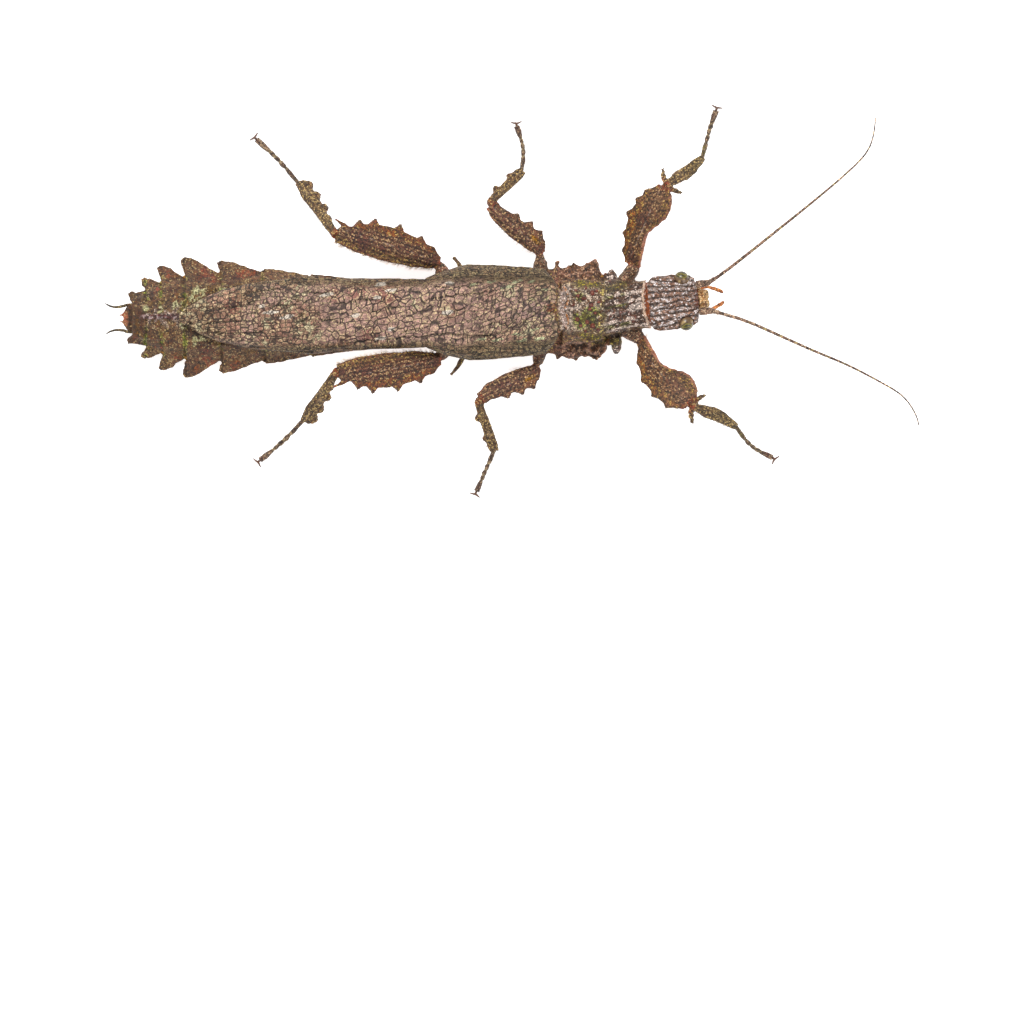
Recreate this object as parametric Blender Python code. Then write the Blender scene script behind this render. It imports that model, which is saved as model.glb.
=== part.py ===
"""A bark stick insect (Prisopus), life size, standing on its six feet.

The body lies along X with the head towards +X and the insect's left towards +Y.
Dimensions are in millimetres and are scaled to metres as meshes are made. Along the
body they are counted from the tip of the abdomen, and across it from the midline.
"""

import math

import bmesh
import bpy
from mathutils import Matrix, Vector

MM = 0.001
GAP = 0.15                 # clear space between neighbouring pieces
SHELL = 0.5                # thickness of the wings and wing covers
MIDDLE = (42.05, 1.05)      # middle of the standing insect, from the abdomen tip

# The top of the folded wings: (distance along the body, half-width, top, lower edge).
WING_STATIONS = (
    (5.4, 0.45, 4.80, 4.50),
    (6.2, 1.05, 4.88, 4.35),
    (7.6, 1.85, 5.00, 4.08),
    (10.0, 2.90, 5.18, 3.62),
    (12.6, 3.50, 5.32, 3.30),
    (15.5, 3.95, 5.45, 3.05),
    (19.8, 4.35, 5.65, 2.90),
    (24.2, 4.05, 5.90, 2.80),
    (32.4, 3.85, 6.15, 2.50),
)
TEGMEN_STATIONS = (
    (32.6, 3.90, 6.17, 2.50),
    (34.6, 4.75, 6.22, 2.40),
    (37.2, 5.35, 6.25, 2.35),
    (40.5, 5.25, 6.25, 2.35),
    (44.0, 4.98, 6.18, 2.45),
    (45.6, 4.80, 6.10, 2.75),
    (46.5, 3.80, 6.02, 3.60),
    (47.1, 2.70, 5.95, 4.30),
)
WING_BOXINESS = 2.7        # exponents of the rounded sections of the wings and of the back
BACK_BOXINESS = 2.3

# Lobed abdomen rings: front, rear, half-width at the front notch, at the lobe, the lobe's
# height over the floor, and how far its round tip reaches back past the ring.
ABDOMEN_RINGS = (
    ("abdomen_2", 19.80, 14.80, 4.50, 5.25, 0.90, 0.32),
    ("abdomen_3", 14.80, 10.00, 4.85, 6.22, 0.40, 0.50),
    ("abdomen_4", 10.00, 6.00, 4.80, 6.68, 0.35, 0.48),
    ("abdomen_5", 6.00, 3.45, 4.50, 5.80, 0.35, 0.58),
    ("abdomen_6", 3.45, 1.70, 3.90, 4.45, 0.40, 0.68),
    ("abdomen_7", 1.70, 0.10, 3.05, 2.80, 0.80, 0.58),
)
TAIL_NOTCH = 1.90          # half-width of the body just behind the last ring
# The outline of a lobe: (share of the ring, share of the reach, share of the sweep).
LOBE_OUTLINE = ((0.0, 0.0, 0.0), (0.33, 0.36, 0.0), (0.62, 0.76, 0.0), (0.82, 0.96, 0.22),
                (0.95, 1.0, 0.62), (1.0, 0.80, 1.0))
FIRST_RING_SIDES = ((32.35, 3.20), (28.0, 3.35), (24.2, 4.05), (19.95, 4.60))
FIRST_RING_EDGE = 1.05
LOBE_THICKNESS = 0.42      # of the lobes and side plates at their edge
PLATE_DROP = 0.60          # how far below the back's side a plate starts, when it is short
PLATE_SLOPE = 0.55         # and how much more it falls for each millimetre of its width
BELLY_SHARE = 0.80         # width of the flat belly, as a share of the back's
# The body under the wings and lobes: (distance along, half-width, top, underside).
CORE_STATIONS = (
    (-0.1, 1.85, 2.25, 0.85),
    (1.7, 2.70, 3.15, 0.75),
    (3.4, 3.35, 3.60, 0.75),
    (6.0, 3.75, 3.75, 0.75),
    (10.0, 3.60, 3.80, 0.80),
    (12.4, 3.12, 4.12, 0.82),
    (14.8, 3.15, 4.58, 0.85),
    (19.8, 3.50, 4.92, 0.90),
    (24.2, 3.28, 5.18, 0.95),
    (32.4, 3.10, 5.45, 1.00),
)

# The tail plate and the plate below it: (distance along, half-width, top, underside).
TAIL_STATIONS = ((-0.08, 1.60, 2.10, 0.95), (-0.45, 1.20, 1.95, 1.00), (-0.80, 0.62, 1.75, 1.10))
TAIL_SPINE = ((-0.60, 0.38, 1.50), (-1.15, 0.36, 1.45))
TAIL_SPINE_RADII = (0.20, 0.06)
OPERCULUM_STATIONS = ((-0.75, 0.55), (-0.10, 1.15), (1.60, 1.60), (3.20, 1.50))
# Its section: (share of the half-width, height over the floor).
OPERCULUM_SECTION = ((-1, 0.52), (-0.6, 0.36), (0.6, 0.36), (1, 0.52), (0.6, 0.62), (-0.6, 0.62))
# The cerci: (distance back, distance outwards, half the height, half the width).
CERCUS_ROOT = (-0.20, 1.42, 1.48)
CERCUS_SLOPE = 0.33        # how steeply the cerci droop
CERCUS_STATIONS = ((0.0, 0.0, 0.40, 0.26), (0.75, -0.08, 0.48, 0.26), (1.60, -0.05, 0.42, 0.26),
                   (2.20, 0.06, 0.34, 0.26), (2.70, 0.26, 0.22, 0.16))

# Thorax: (distance along, half-width of the back, of the side plates, top, edge, underside).
METATHORAX_STATIONS = (
    (32.55, 3.25, 3.35, 5.46, 1.60, 1.00),
    (34.60, 4.05, 4.15, 5.52, 1.50, 0.95),
    (37.20, 4.65, 4.80, 5.55, 1.50, 0.95),
    (40.50, 4.55, 4.70, 5.55, 1.50, 0.95),
    (43.90, 4.15, 4.30, 5.45, 1.60, 1.00),
)
MESOTHORAX_STATIONS = (
    (44.10, 4.15, 4.30, 5.45, 1.60, 1.00),
    (46.00, 3.30, 4.65, 5.25, 1.35, 1.00),
    (47.30, 2.40, 4.85, 5.15, 1.20, 1.00),
    (47.55, 3.30, 4.90, 5.95, 1.10, 1.00),
    (48.15, 3.60, 4.95, 6.22, 0.90, 0.95),
    (48.95, 3.60, 5.40, 5.90, 0.70, 0.90),
    (49.75, 3.58, 5.02, 5.87, 0.70, 0.90),
    (50.70, 3.50, 5.20, 5.84, 0.70, 0.90),
    (51.30, 3.40, 5.45, 5.80, 0.72, 0.92),
    (51.75, 3.30, 4.85, 5.75, 0.85, 0.98),
    (52.10, 3.20, 4.20, 5.70, 1.10, 1.10),
)
PROTHORAX_STATIONS = (
    (0.05, 3.15, 3.30, 5.75, 1.60, 1.35),
    (1.50, 3.00, 3.15, 5.70, 1.70, 1.35),
    (2.90, 2.60, 2.72, 5.62, 1.90, 1.50),
    (3.90, 2.52, 2.62, 5.60, 2.10, 1.70),
    (4.38, 2.64, 2.74, 5.52, 2.30, 1.90),
)
PROTHORAX_SLANT = (0.061, -0.035)      # forward lean of its back and front edges, to the left
PROTHORAX_BOW = 0.075      # how far the front corners stand forward, per square mm across
# Round knobs beside the middle coxae, spines beside the hind ones and lappets in front.
KNOB = ((47.10, 4.30, 1.70), (47.10, 4.95, 1.40), (47.05, 5.30, 1.20))
KNOB_RADII = (0.30, 0.34, 0.22)
PROCESS_BEND = (36.5, 5.0, 1.50)
PROCESS_RADII = (0.30, 0.30, 0.27, 0.20)
PROCESS_REACH = {1: 0.6, -1: 1.0}      # on the left and on the right
LAPPETS = (
    ((53.30, 2.60, 2.3), (53.20, 3.25, 1.9), (53.10, 3.90, 1.2), (53.02, 4.32, 0.80)),
    ((53.50, -2.80, 2.3), (53.50, -3.50, 1.9), (53.48, -4.20, 1.2), (53.45, -4.66, 0.75)),
)
LAPPET_RADII = (0.55, 0.64, 0.58, 0.32)

BODY_YAW = {"prothorax": math.radians(3.5), "head": math.radians(5.0)}
PROTHORAX_BACK = (52.20, 0.30)
HEAD_BACK = (57.02, 0.52)
# Head and upper lip: (distance from the back of the head, half-width, top, underside).
HEAD_STATIONS = (
    (-0.04, 1.75, 5.30, 3.15),
    (0.12, 2.35, 5.50, 2.85),
    (0.45, 2.80, 5.68, 2.65),
    (1.20, 3.02, 5.76, 2.52),
    (2.90, 3.04, 5.72, 2.50),
    (4.20, 2.90, 5.56, 2.55),
    (4.85, 2.78, 5.25, 2.65),
    (5.28, 2.42, 4.95, 2.80),
    (5.50, 1.60, 4.75, 3.00),
)
HEAD_BOXINESS = 2.5
MOUTH_STATIONS = ((5.60, 1.15, 4.75, 2.95), (6.15, 1.12, 4.50, 2.90), (6.62, 1.00, 3.98, 2.95),
                  (6.78, 0.76, 3.62, 3.10))
PALP_ROUTE = ((5.95, 1.25, 2.95), (6.7, 1.30, 2.95), (7.35, 1.05, 2.75), (7.9, 0.80, 2.55),
              (8.45, 0.45, 2.30))
PALP_RADII = (0.25, 0.26, 0.25, 0.27, 0.14)

EYE_RADIUS = 0.84
EYE_PLACE = (3.95, 2.46, 4.75)         # from the back of the head
ANTENNA_RADIUS = (0.36, 0.25)          # at the base and the tip
ANTENNA_ROUTES = {
    "left": ((62.72, 2.25, 5.08), (65.7, 4.12, 5.30), (71.5, 8.55, 5.50), (75.3, 11.5, 5.45),
             (79.2, 14.7, 4.80), (81.5, 17.1, 3.95), (82.3, 19.6, 3.00), (82.5, 22.0, 1.90)),
    "right": ((62.92, 0.05, 4.98), (67.6, -1.40, 4.75), (71.3, -3.07, 4.60), (75.1, -4.84, 4.40),
              (78.9, -6.50, 4.05), (82.6, -8.50, 3.60), (84.9, -10.0, 3.20), (86.4, -12.2, 2.75),
              (86.8, -14.8, 2.30)),
}

# Joints of each leg: where the femur leaves the hip, the knee, the ankle and the toes.
LEGS = {
    "front_left": ((55.60, 4.74, 2.20), (59.00, 13.40, 5.60), (63.30, 16.60, 1.40),
                   (64.90, 21.85, 0.0)),
    "front_right": ((56.20, -3.05, 2.20), (61.35, -10.50, 5.60), (66.50, -13.00, 1.40),
                    (70.50, -16.50, 0.0)),
    "mid_left": ((45.20, 5.90, 1.30), (39.75, 11.55, 3.90), (43.35, 15.50, 0.85),
                 (42.90, 20.50, 0.0)),
    "mid_right": ((44.80, -5.60, 1.30), (38.30, -9.25, 3.90), (39.85, -15.20, 0.85),
                  (37.80, -19.70, 0.0)),
    "hind_left": ((34.20, 5.20, 1.35), (23.00, 8.50, 7.30), (18.80, 14.50, 1.70),
                  (14.20, 19.50, 0.0)),
    "hind_right": ((34.20, -4.75, 1.35), (22.90, -6.10, 7.10), (18.90, -11.50, 1.70),
                   (14.00, -15.85, 0.0)),
}
# A coxa from its root to just past the hip: (share of the way, share of its radius).
COXA_SHAPE = ((0.0, 0.85), (0.35, 1.0), (0.75, 0.95), (1.0, 0.72))
COXA_TIP = (0.35, 0.40)
FRONT_COXA_SHIFT = 0.4     # to the left, with the turned prothorax
# Where each coxa leaves the underside of the thorax, and its radius.
COXA_ROOTS = {
    "front": ((54.30, 2.55, 2.64), 0.85),
    "mid": ((45.30, 3.60, 2.00), 0.80),
    "hind": ((34.90, 3.30, 1.95), 0.80),
}

# Blades are seen from above: u runs from 0 at the upper joint to 1 at the lower one.
# "toothed" and "smooth" give the half-width along each edge, and each tooth is (u, height).
FEMORA = {
    "front": {
        "toothed": ((0.0, 1.10), (0.14, 1.70), (0.28, 2.13), (0.44, 2.45), (0.60, 2.60),
                    (0.83, 1.90), (0.93, 1.25), (1.0, 0.75)),
        "smooth": ((0.0, 0.70), (0.16, 0.36), (0.34, 0.12), (0.44, 0.16), (0.55, 0.78),
                   (0.66, 1.34), (0.77, 1.49), (0.88, 1.32), (0.96, 0.85), (1.0, 0.45)),
        "teeth": ((0.14, 0.25), (0.33, 0.35), (0.57, 0.42), (0.76, 0.42), (0.885, 0.38)),
        "rib": 1.30,
    },
    "front_right": {
        "toothed": ((0.0, 0.70), (0.10, 1.00), (0.18, 1.68), (0.29, 2.10), (0.39, 2.50),
                    (0.52, 2.60), (0.71, 2.44), (0.80, 2.25), (0.91, 1.80), (1.0, 0.85)),
        "smooth": ((0.0, 0.60), (0.18, 0.25), (0.39, 0.15), (0.47, 0.30), (0.57, 0.97),
                   (0.65, 1.59), (0.73, 1.90), (0.82, 1.94), (0.91, 1.70), (0.97, 1.15),
                   (1.0, 0.60)),
        "teeth": ((0.235, 0.20), (0.44, 0.32), (0.66, 0.42), (0.866, 0.40)),
        "rib": 1.30,
    },
    "mid": {
        "toothed": ((0.0, 0.80), (0.12, 1.72), (0.30, 1.95), (0.52, 1.56), (0.78, 1.16),
                    (0.88, 0.95), (0.96, 1.02), (1.0, 0.80)),
        "smooth": ((0.0, 0.15), (0.12, 0.05), (0.30, 0.42), (0.52, 0.74), (0.78, 0.76),
                   (0.88, 0.62), (1.0, 0.38)),
        "teeth": ((0.237, 0.45), (0.43, 0.56), (0.643, 0.42)),
        "rib": 1.25,
    },
    "hind": {
        "toothed": ((0.0, 0.80), (0.05, 1.20), (0.15, 1.88), (0.28, 2.25), (0.40, 2.55),
                    (0.55, 2.66), (0.64, 2.58), (0.79, 2.18), (0.89, 1.50), (0.95, 1.32),
                    (1.0, 1.05)),
        "smooth": ((0.0, 0.30), (0.15, 0.68), (0.28, 0.94), (0.55, 1.12), (0.79, 1.02),
                   (0.95, 0.74), (1.0, 0.66)),
        "teeth": ((0.10, 0.22), (0.235, 0.52), (0.458, 0.66), (0.70, 0.70), (0.838, 0.60)),
        "rib": 1.45,
    },
}
TIBIAE = {
    "front": {
        "toothed": ((0.0, 0.30), (0.15, 0.38), (0.38, 0.62), (0.60, 0.46), (0.88, 0.42),
                    (1.0, 0.30)),
        "smooth": ((0.0, 0.30), (0.15, 0.30), (0.28, 0.62), (0.50, 0.88), (0.70, 0.82),
                   (0.88, 0.52), (1.0, 0.32)),
        "teeth": (),
        "rib": 0.90,
    },
    "mid": {
        "toothed": ((0.0, 0.28), (0.10, 0.66), (0.24, 0.70), (0.55, 0.64), (0.90, 0.62),
                    (1.0, 0.36)),
        "smooth": ((0.0, 0.24), (0.24, 0.14), (0.55, 0.34), (0.90, 0.56), (1.0, 0.42)),
        "teeth": ((0.37, 0.44), (0.75, 0.26)),
        "rib": 0.90,
    },
    "hind": {
        "toothed": ((0.0, 0.34), (0.22, 0.42), (0.385, 0.66), (0.58, 0.80), (0.79, 0.86),
                    (0.97, 0.92), (1.0, 0.42)),
        "smooth": ((0.0, 0.40), (0.22, 0.50), (0.79, 0.58), (1.0, 0.36)),
        "teeth": ((0.30, 0.22), (0.47, 0.44), (0.69, 0.46), (0.89, 0.44)),
        "rib": 0.95,
    },
}
# The spine at the hind knee: (share of the femur's length, distance out from its middle).
KNEE_SPINE = ((0.88, 1.00), (0.97, 1.42), (1.06, 1.78))
KNEE_SPINE_RADII = (0.26, 0.26, 0.12)
# The leaf-like lobes at the front knee: (share of their reach, half-width).
KNEE_LOBE = ((0.0, 0.30), (0.3, 0.38), (0.7, 0.36), (1.0, 0.20))
KNEE_LOBE_REACH = 1.60
KNEE_LOBE_DROP = 0.45
KNEE_LOBE_THICKNESS = 0.52
BLADE_EDGE = 0.50          # thickness along the blades' edges
TOOTH_SPAN = 0.58          # half the length of a tooth's foot, along the edge
STATION_GAP = 0.03         # stations nearer to a tooth than this share of the limb are left out
# The side on which the teeth stand: +1 is left of the direction away from the body.
FEMUR_TEETH_SIDE = {"front": 1, "mid": -1, "hind": -1}
TIBIA_TEETH_SIDE = {"front": 1, "mid": 1, "hind": -1}

# Tarsus joints as shares of its length, with the radius in the middle of each joint.
TARSUS_JOINTS = ((0.0, 0.30), (0.34, 0.29), (0.49, 0.28), (0.61, 0.28), (0.72, 0.36))
TARSUS_NECK = 0.25
TARSUS_TOE = 0.34          # radius at the tip
SOLE_HEIGHT = 0.27         # height of the tarsus axis over its flat sole
# How far each tarsus bows to its left, seen from above with the toes ahead.
TARSUS_BOW = {"front_left": 0.10, "front_right": -0.50, "mid_left": -0.42, "mid_right": 0.0,
              "hind_left": -0.18, "hind_right": 0.18}
# One claw from the middle of the pair: (distance ahead, share of the spread, height, radius).
CLAW_SPREAD = 0.72
CLAW_POINTS = ((0.34, 0.0, 0.27, 0.25), (0.39, 0.33, 0.258, 0.25), (0.44, 0.67, 0.222, 0.16),
               (0.43, 1.0, 0.162, 0.09))

MATERIALS = {
    "bark_wing": ((0.19, 0.13, 0.12), 0.75),
    "bark_cuticle": ((0.15, 0.11, 0.07), 0.70),
    "leg_cuticle": ((0.14, 0.10, 0.06), 0.65),
    "head_cuticle": ((0.17, 0.13, 0.11), 0.65),
    "eye": ((0.05, 0.06, 0.02), 0.15),
    "membrane": ((0.55, 0.35, 0.15), 0.55),
    "palp": ((0.60, 0.16, 0.05), 0.50),
    "claw": ((0.12, 0.07, 0.05), 0.35),
}


def clear_scene():
    for item in list(bpy.data.objects):
        bpy.data.objects.remove(item, do_unlink=True)


def make_material(name):
    colour, roughness = MATERIALS[name]
    surface = bpy.data.materials.new(name)
    surface.use_nodes = True
    shader = surface.node_tree.nodes["Principled BSDF"]
    shader.inputs["Base Color"].default_value = (*colour, 1.0)
    shader.inputs["Roughness"].default_value = roughness
    shader.inputs["Metallic"].default_value = 0.0
    return surface


def blend(table, at, column=1):
    """Read a column of a table of stations at any place between them."""
    rows = sorted(table)
    if at <= rows[0][0]:
        return rows[0][column]
    for low, high in zip(rows, rows[1:]):
        if at <= high[0]:
            share = (at - low[0]) / (high[0] - low[0])
            return low[column] + share * (high[column] - low[column])
    return rows[-1][column]


def signed_power(value, exponent):
    return math.copysign(abs(value) ** exponent, value)


def superellipse(angle, half, height, boxiness):
    """A point of a rounded section, at an angle from its side towards its top."""
    across = half * signed_power(math.cos(angle), 2 / boxiness)
    return across, height * signed_power(math.sin(angle), 2 / boxiness)


class Insect:
    """Holds the collection, the parent empty and the materials of the model."""

    def __init__(self, name):
        self.parts = bpy.data.collections.new(name)
        bpy.context.scene.collection.children.link(self.parts)
        self.root = bpy.data.objects.new(name + "_origin", None)
        self.root.location = (-MIDDLE[0] * MM, -MIDDLE[1] * MM, 0)
        self.parts.objects.link(self.root)
        self.materials = {key: make_material(key) for key in MATERIALS}

    def add(self, name, mesh, material, place=(0, 0, 0), turn=(0, 0, 0)):
        piece = bpy.data.objects.new(name, mesh)
        self.parts.objects.link(piece)
        piece.parent = self.root
        piece.location = Vector(place) * MM
        piece.rotation_euler = turn
        mesh.materials.clear()
        mesh.materials.append(self.materials[material])
        mesh.shade_smooth()
        mesh.set_sharp_from_angle(angle=math.radians(50))
        bpy.context.view_layer.update()
        return piece


def loft(name, rings):
    """A closed solid through rings of equal length, each a list of (x, y, z)."""
    shape = bmesh.new()
    rows = [[shape.verts.new(Vector(point) * MM) for point in ring] for ring in rings]
    count = len(rows[0])
    for row, following in zip(rows, rows[1:]):
        for i in range(count):
            j = (i + 1) % count
            shape.faces.new((row[i], row[j], following[j], following[i]))
    shape.faces.new(rows[0])
    shape.faces.new(rows[-1])
    bmesh.ops.recalc_face_normals(shape, faces=shape.faces)
    mesh = bpy.data.meshes.new(name)
    shape.to_mesh(mesh)
    shape.free()
    return mesh


def tube(name, points, radii, sides=8):
    """A round tube of changing radius along a list of points, as a welded mesh."""
    route = bpy.data.curves.new(name, "CURVE")
    route.dimensions = "3D"
    route.bevel_depth = MM
    route.bevel_resolution = sides // 2 - 2
    route.resolution_u = 1
    route.use_fill_caps = True
    spline = route.splines.new("POLY")
    spline.points.add(len(points) - 1)
    for knot, point, radius in zip(spline.points, points, radii):
        knot.co = (*(Vector(point) * MM), 1)
        knot.radius = radius
    holder = bpy.data.objects.new(name, route)
    bpy.context.scene.collection.objects.link(holder)
    mesh = baked(holder, name)
    bpy.data.objects.remove(holder, do_unlink=True)
    return mesh


def baked(item, name):
    """The evaluated shape of an object as a mesh whose loose seams are welded."""
    bpy.context.view_layer.update()
    state = item.evaluated_get(bpy.context.evaluated_depsgraph_get())
    mesh = bpy.data.meshes.new_from_object(state)
    mesh.name = name
    shape = bmesh.new()
    shape.from_mesh(mesh)
    bmesh.ops.remove_doubles(shape, verts=shape.verts, dist=0.002 * MM)
    keep_largest(shape)
    bmesh.ops.recalc_face_normals(shape, faces=shape.faces)
    shape.to_mesh(mesh)
    shape.free()
    return mesh


def keep_largest(shape):
    """Drop the small loose bodies that a cut leaves behind."""
    left = set(shape.verts)
    bodies = []
    while left:
        body, edge = set(), [left.pop()]
        while edge:
            vert = edge.pop()
            body.add(vert)
            for link in vert.link_edges:
                other = link.other_vert(vert)
                if other in left:
                    left.remove(other)
                    edge.append(other)
        bodies.append(body)
    bodies.sort(key=len)
    for body in bodies[:-1]:
        bmesh.ops.delete(shape, geom=list(body), context="VERTS")


def joined(piece, other, operation):
    """Bake a Boolean of two objects into the first one."""
    cut = piece.modifiers.new(operation.title(), "BOOLEAN")
    cut.operation = operation
    cut.solver = "EXACT"
    cut.use_self = True
    cut.object = other
    surface = piece.data.materials[0]
    mesh = baked(piece, piece.data.name)
    piece.modifiers.clear()
    piece.data = mesh
    mesh.materials.clear()
    mesh.materials.append(surface)


def clear_of(piece, *neighbours, gap=GAP):
    """Cut a piece back so that it stays a gap away from its neighbours."""
    for neighbour in neighbours:
        grown = neighbour.copy()
        grown.data = neighbour.data.copy()
        bpy.context.scene.collection.objects.link(grown)
        normals = [vert.normal.copy() for vert in grown.data.vertices]
        for vert, normal in zip(grown.data.vertices, normals):
            vert.co += normal * gap * MM
        joined(piece, grown, "DIFFERENCE")
        bpy.data.objects.remove(grown, do_unlink=True)


def grow_onto(insect, piece, mesh, place=(0, 0, 0), turn=(0, 0, 0)):
    """Join a small shape, such as a spine, to the piece that it grows from."""
    bud = insect.add("bud", mesh, "bark_cuticle", place, turn)
    joined(piece, bud, "UNION")
    bpy.data.objects.remove(bud, do_unlink=True)


# Body ------------------------------------------------------------------------------------

def wing_section(at, half, top, low, side):
    """One half of the folded wings, as a thin bent plate across the body."""
    steps = [math.radians(angle) for angle in (88, 70, 52, 34, 14)]
    middle = low + 0.25 * (top - low)
    inner_half = max(half - SHELL, 0.45 * half)
    inner_low = min(low, top - SHELL - 0.05)
    outer, inner = [], []
    for angle in steps:
        across, height = superellipse(angle, half, top - middle, WING_BOXINESS)
        outer.append((max(across, GAP / 2), middle + height))
        rise = max(top - SHELL - middle, 0.05)
        across, height = superellipse(angle, inner_half, rise, WING_BOXINESS)
        inner.append((max(across, GAP / 2), min(middle, top - SHELL - rise) + height))
    outer[0] = (GAP / 2, outer[0][1])
    inner[0] = (GAP / 2, inner[0][1])
    outer.append((0.985 * half, low))
    inner.append((inner_half, inner_low))
    return [(at, side * y, z) for y, z in outer + inner[::-1]]


def make_wings(insect):
    shells = (("wing", WING_STATIONS), ("tegmen", TEGMEN_STATIONS))
    for name, stations in shells:
        for label, side in (("left", 1), ("right", -1)):
            rings = [wing_section(*station, side) for station in stations]
            insect.add(f"{name}_{label}", loft(name, rings), "bark_wing")


def mirrored(half):
    """Both sides of a section whose half runs from the top to the bottom."""
    return half + [(x, -y, z) for x, y, z in half[-2:0:-1]]


def back_curve(at, half, top, root):
    return [(at, across, root + height) for across, height in
            (superellipse(math.radians(angle), half, top - root, BACK_BOXINESS)
             for angle in (90, 56, 22))]


def body_section(at, half, side, top, edge, under):
    """A ring across the body: a rounded back, drooping side plates and a flat belly."""
    side = max(side, half + 0.04)
    root = edge + PLATE_DROP + PLATE_SLOPE * (side - half)
    return mirrored(back_curve(at, half, top, root) + [
        (at, half + 0.02, root - 0.05), (at, side, edge + LOBE_THICKNESS),
        (at, side - 0.04, edge), (at, BELLY_SHARE * half, under + 0.12), (at, 0.0, under)])


def lobed_section(at, half, lobe, top, edge, under, notch, sweep):
    """The same ring with its side drawn out, beyond the notch, into a lobe swept back."""
    lobe = max(lobe, notch + 0.04)
    root = edge + PLATE_DROP + PLATE_SLOPE * (lobe - half)
    share = (notch - half) / (lobe - half)
    level = root + share * (edge + LOBE_THICKNESS - root)
    return mirrored(back_curve(at, half, top, root) + [
        (at, notch, level), (at - sweep, lobe, edge + LOBE_THICKNESS),
        (at - sweep, lobe - 0.04, edge), (at, notch, level - LOBE_THICKNESS - 0.05),
        (at, BELLY_SHARE * half, under + 0.12), (at, 0.0, under)])


def core(at):
    return tuple(blend(CORE_STATIONS, at, column) for column in (1, 2, 3))


def make_abdomen_ring(insect, name, front, rear, notch, lobe, tip, sweep, next_notch):
    """One ring of the abdomen, whose rear corners are drawn out into lobes."""
    rings = []
    for share, reach, swept in LOBE_OUTLINE:
        at = front - GAP / 2 - share * (front - rear - GAP)
        half, top, under = core(at)
        edge = under + 0.10 + reach * (tip - under - 0.10)
        inner = notch + share * (next_notch - notch) - 0.06
        rings.append(lobed_section(at, half, notch + reach * (lobe - notch), top, edge,
                                   under, inner, swept * sweep))
    insect.add(name, loft(name, rings), "bark_cuticle")


def make_abdomen(insect):
    rings = []
    for at, side in FIRST_RING_SIDES:
        half, top, under = core(at)
        rings.append(body_section(at, half, side, top, FIRST_RING_EDGE, under))
    insect.add("abdomen_1", loft("abdomen_1", rings), "bark_cuticle")
    following = [ring[3] for ring in ABDOMEN_RINGS[1:]] + [TAIL_NOTCH]
    for ring, next_notch in zip(ABDOMEN_RINGS, following):
        make_abdomen_ring(insect, *ring, next_notch)
    make_abdomen_end(insect)
    make_cerci(insect)


def make_abdomen_end(insect):
    """The tail plate, with two small spines between the cerci, and the plate below it."""
    rings = [body_section(at, half - 0.1, half, top, under + 0.1, under)
             for at, half, top, under in TAIL_STATIONS]
    end = insect.add("abdomen_end", loft("abdomen_end", rings), "bark_cuticle")
    for side in (1, -1):
        route = [(s, side * t, z) for s, t, z in TAIL_SPINE]
        grow_onto(insect, end, tube("spine", route, TAIL_SPINE_RADII, 6))
    plate = [[(at, share * half, height) for share, height in OPERCULUM_SECTION]
             for at, half in OPERCULUM_STATIONS]
    insect.add("operculum", loft("operculum", plate), "bark_cuticle")


def make_cerci(insect):
    """Two narrow leaf-shaped feelers that droop from the end of the abdomen."""
    x, y, z = CERCUS_ROOT
    for label, side in (("left", 1), ("right", -1)):
        rings = []
        for back, out, tall, wide in CERCUS_STATIONS:
            rings.append([(-back, side * (out + wide * math.cos(turn)),
                           tall * math.sin(turn) - CERCUS_SLOPE * back)
                          for turn in (math.tau * i / 8 for i in range(8))])
        leaf = loft("cercus", rings)
        cercus = insect.add(f"cercus_{label}", leaf, "bark_cuticle", (x, side * y, z))
        clear_of(cercus, bpy.data.objects["abdomen_end"], bpy.data.objects["abdomen_7"])


def slanted(section):
    """Lean a cut across the prothorax, so that it meets the body behind and the head."""
    back, front = PROTHORAX_SLANT
    share = section[0][0] / PROTHORAX_STATIONS[-1][0]
    lean, bow = back + share * (front - back), share ** 4 * PROTHORAX_BOW
    return [(x + lean * y + bow * y * y, y, z) for x, y, z in section]


def make_thorax(insect):
    """Metathorax and mesothorax under the wing covers, and the free prothorax."""
    rings = [body_section(*station) for station in METATHORAX_STATIONS]
    meta = insect.add("metathorax", loft("metathorax", rings), "bark_cuticle")
    rings = [body_section(*station) for station in MESOTHORAX_STATIONS]
    meso = insect.add("mesothorax", loft("mesothorax", rings), "bark_cuticle")
    rings = [slanted(body_section(*station)) for station in PROTHORAX_STATIONS]
    pro = insect.add("prothorax", loft("prothorax", rings), "bark_cuticle",
                     (*PROTHORAX_BACK, 0), (0, 0, BODY_YAW["prothorax"]))
    s, t, z = PROCESS_BEND
    for side, reach in PROCESS_REACH.items():
        route = ((s + 0.3, side * (t - 1.1), z + 0.25), (s, side * t, z),
                 (s - 0.5 * reach, side * (t + 0.9 * reach), z - 0.30),
                 (s - 1.3 * reach, side * (t + 1.8 * reach), z - 0.65))
        grow_onto(insect, meta, tube("process", route, PROCESS_RADII, 6))
        knob = [(s, side * t, z) for s, t, z in KNOB]
        grow_onto(insect, meso, tube("knob", knob, KNOB_RADII, 6))
    for route in LAPPETS:
        grow_onto(insect, pro, tube("lappet", route, LAPPET_RADII, 6))
    clear_of(pro, meso)


# Head ------------------------------------------------------------------------------------

def on_head(x, y, z):
    """A place given from the back of the head, in the body's own measures."""
    turned = Matrix.Rotation(BODY_YAW["head"], 3, "Z") @ Vector((x, y, z))
    return turned + Vector((*HEAD_BACK, 0))


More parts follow.
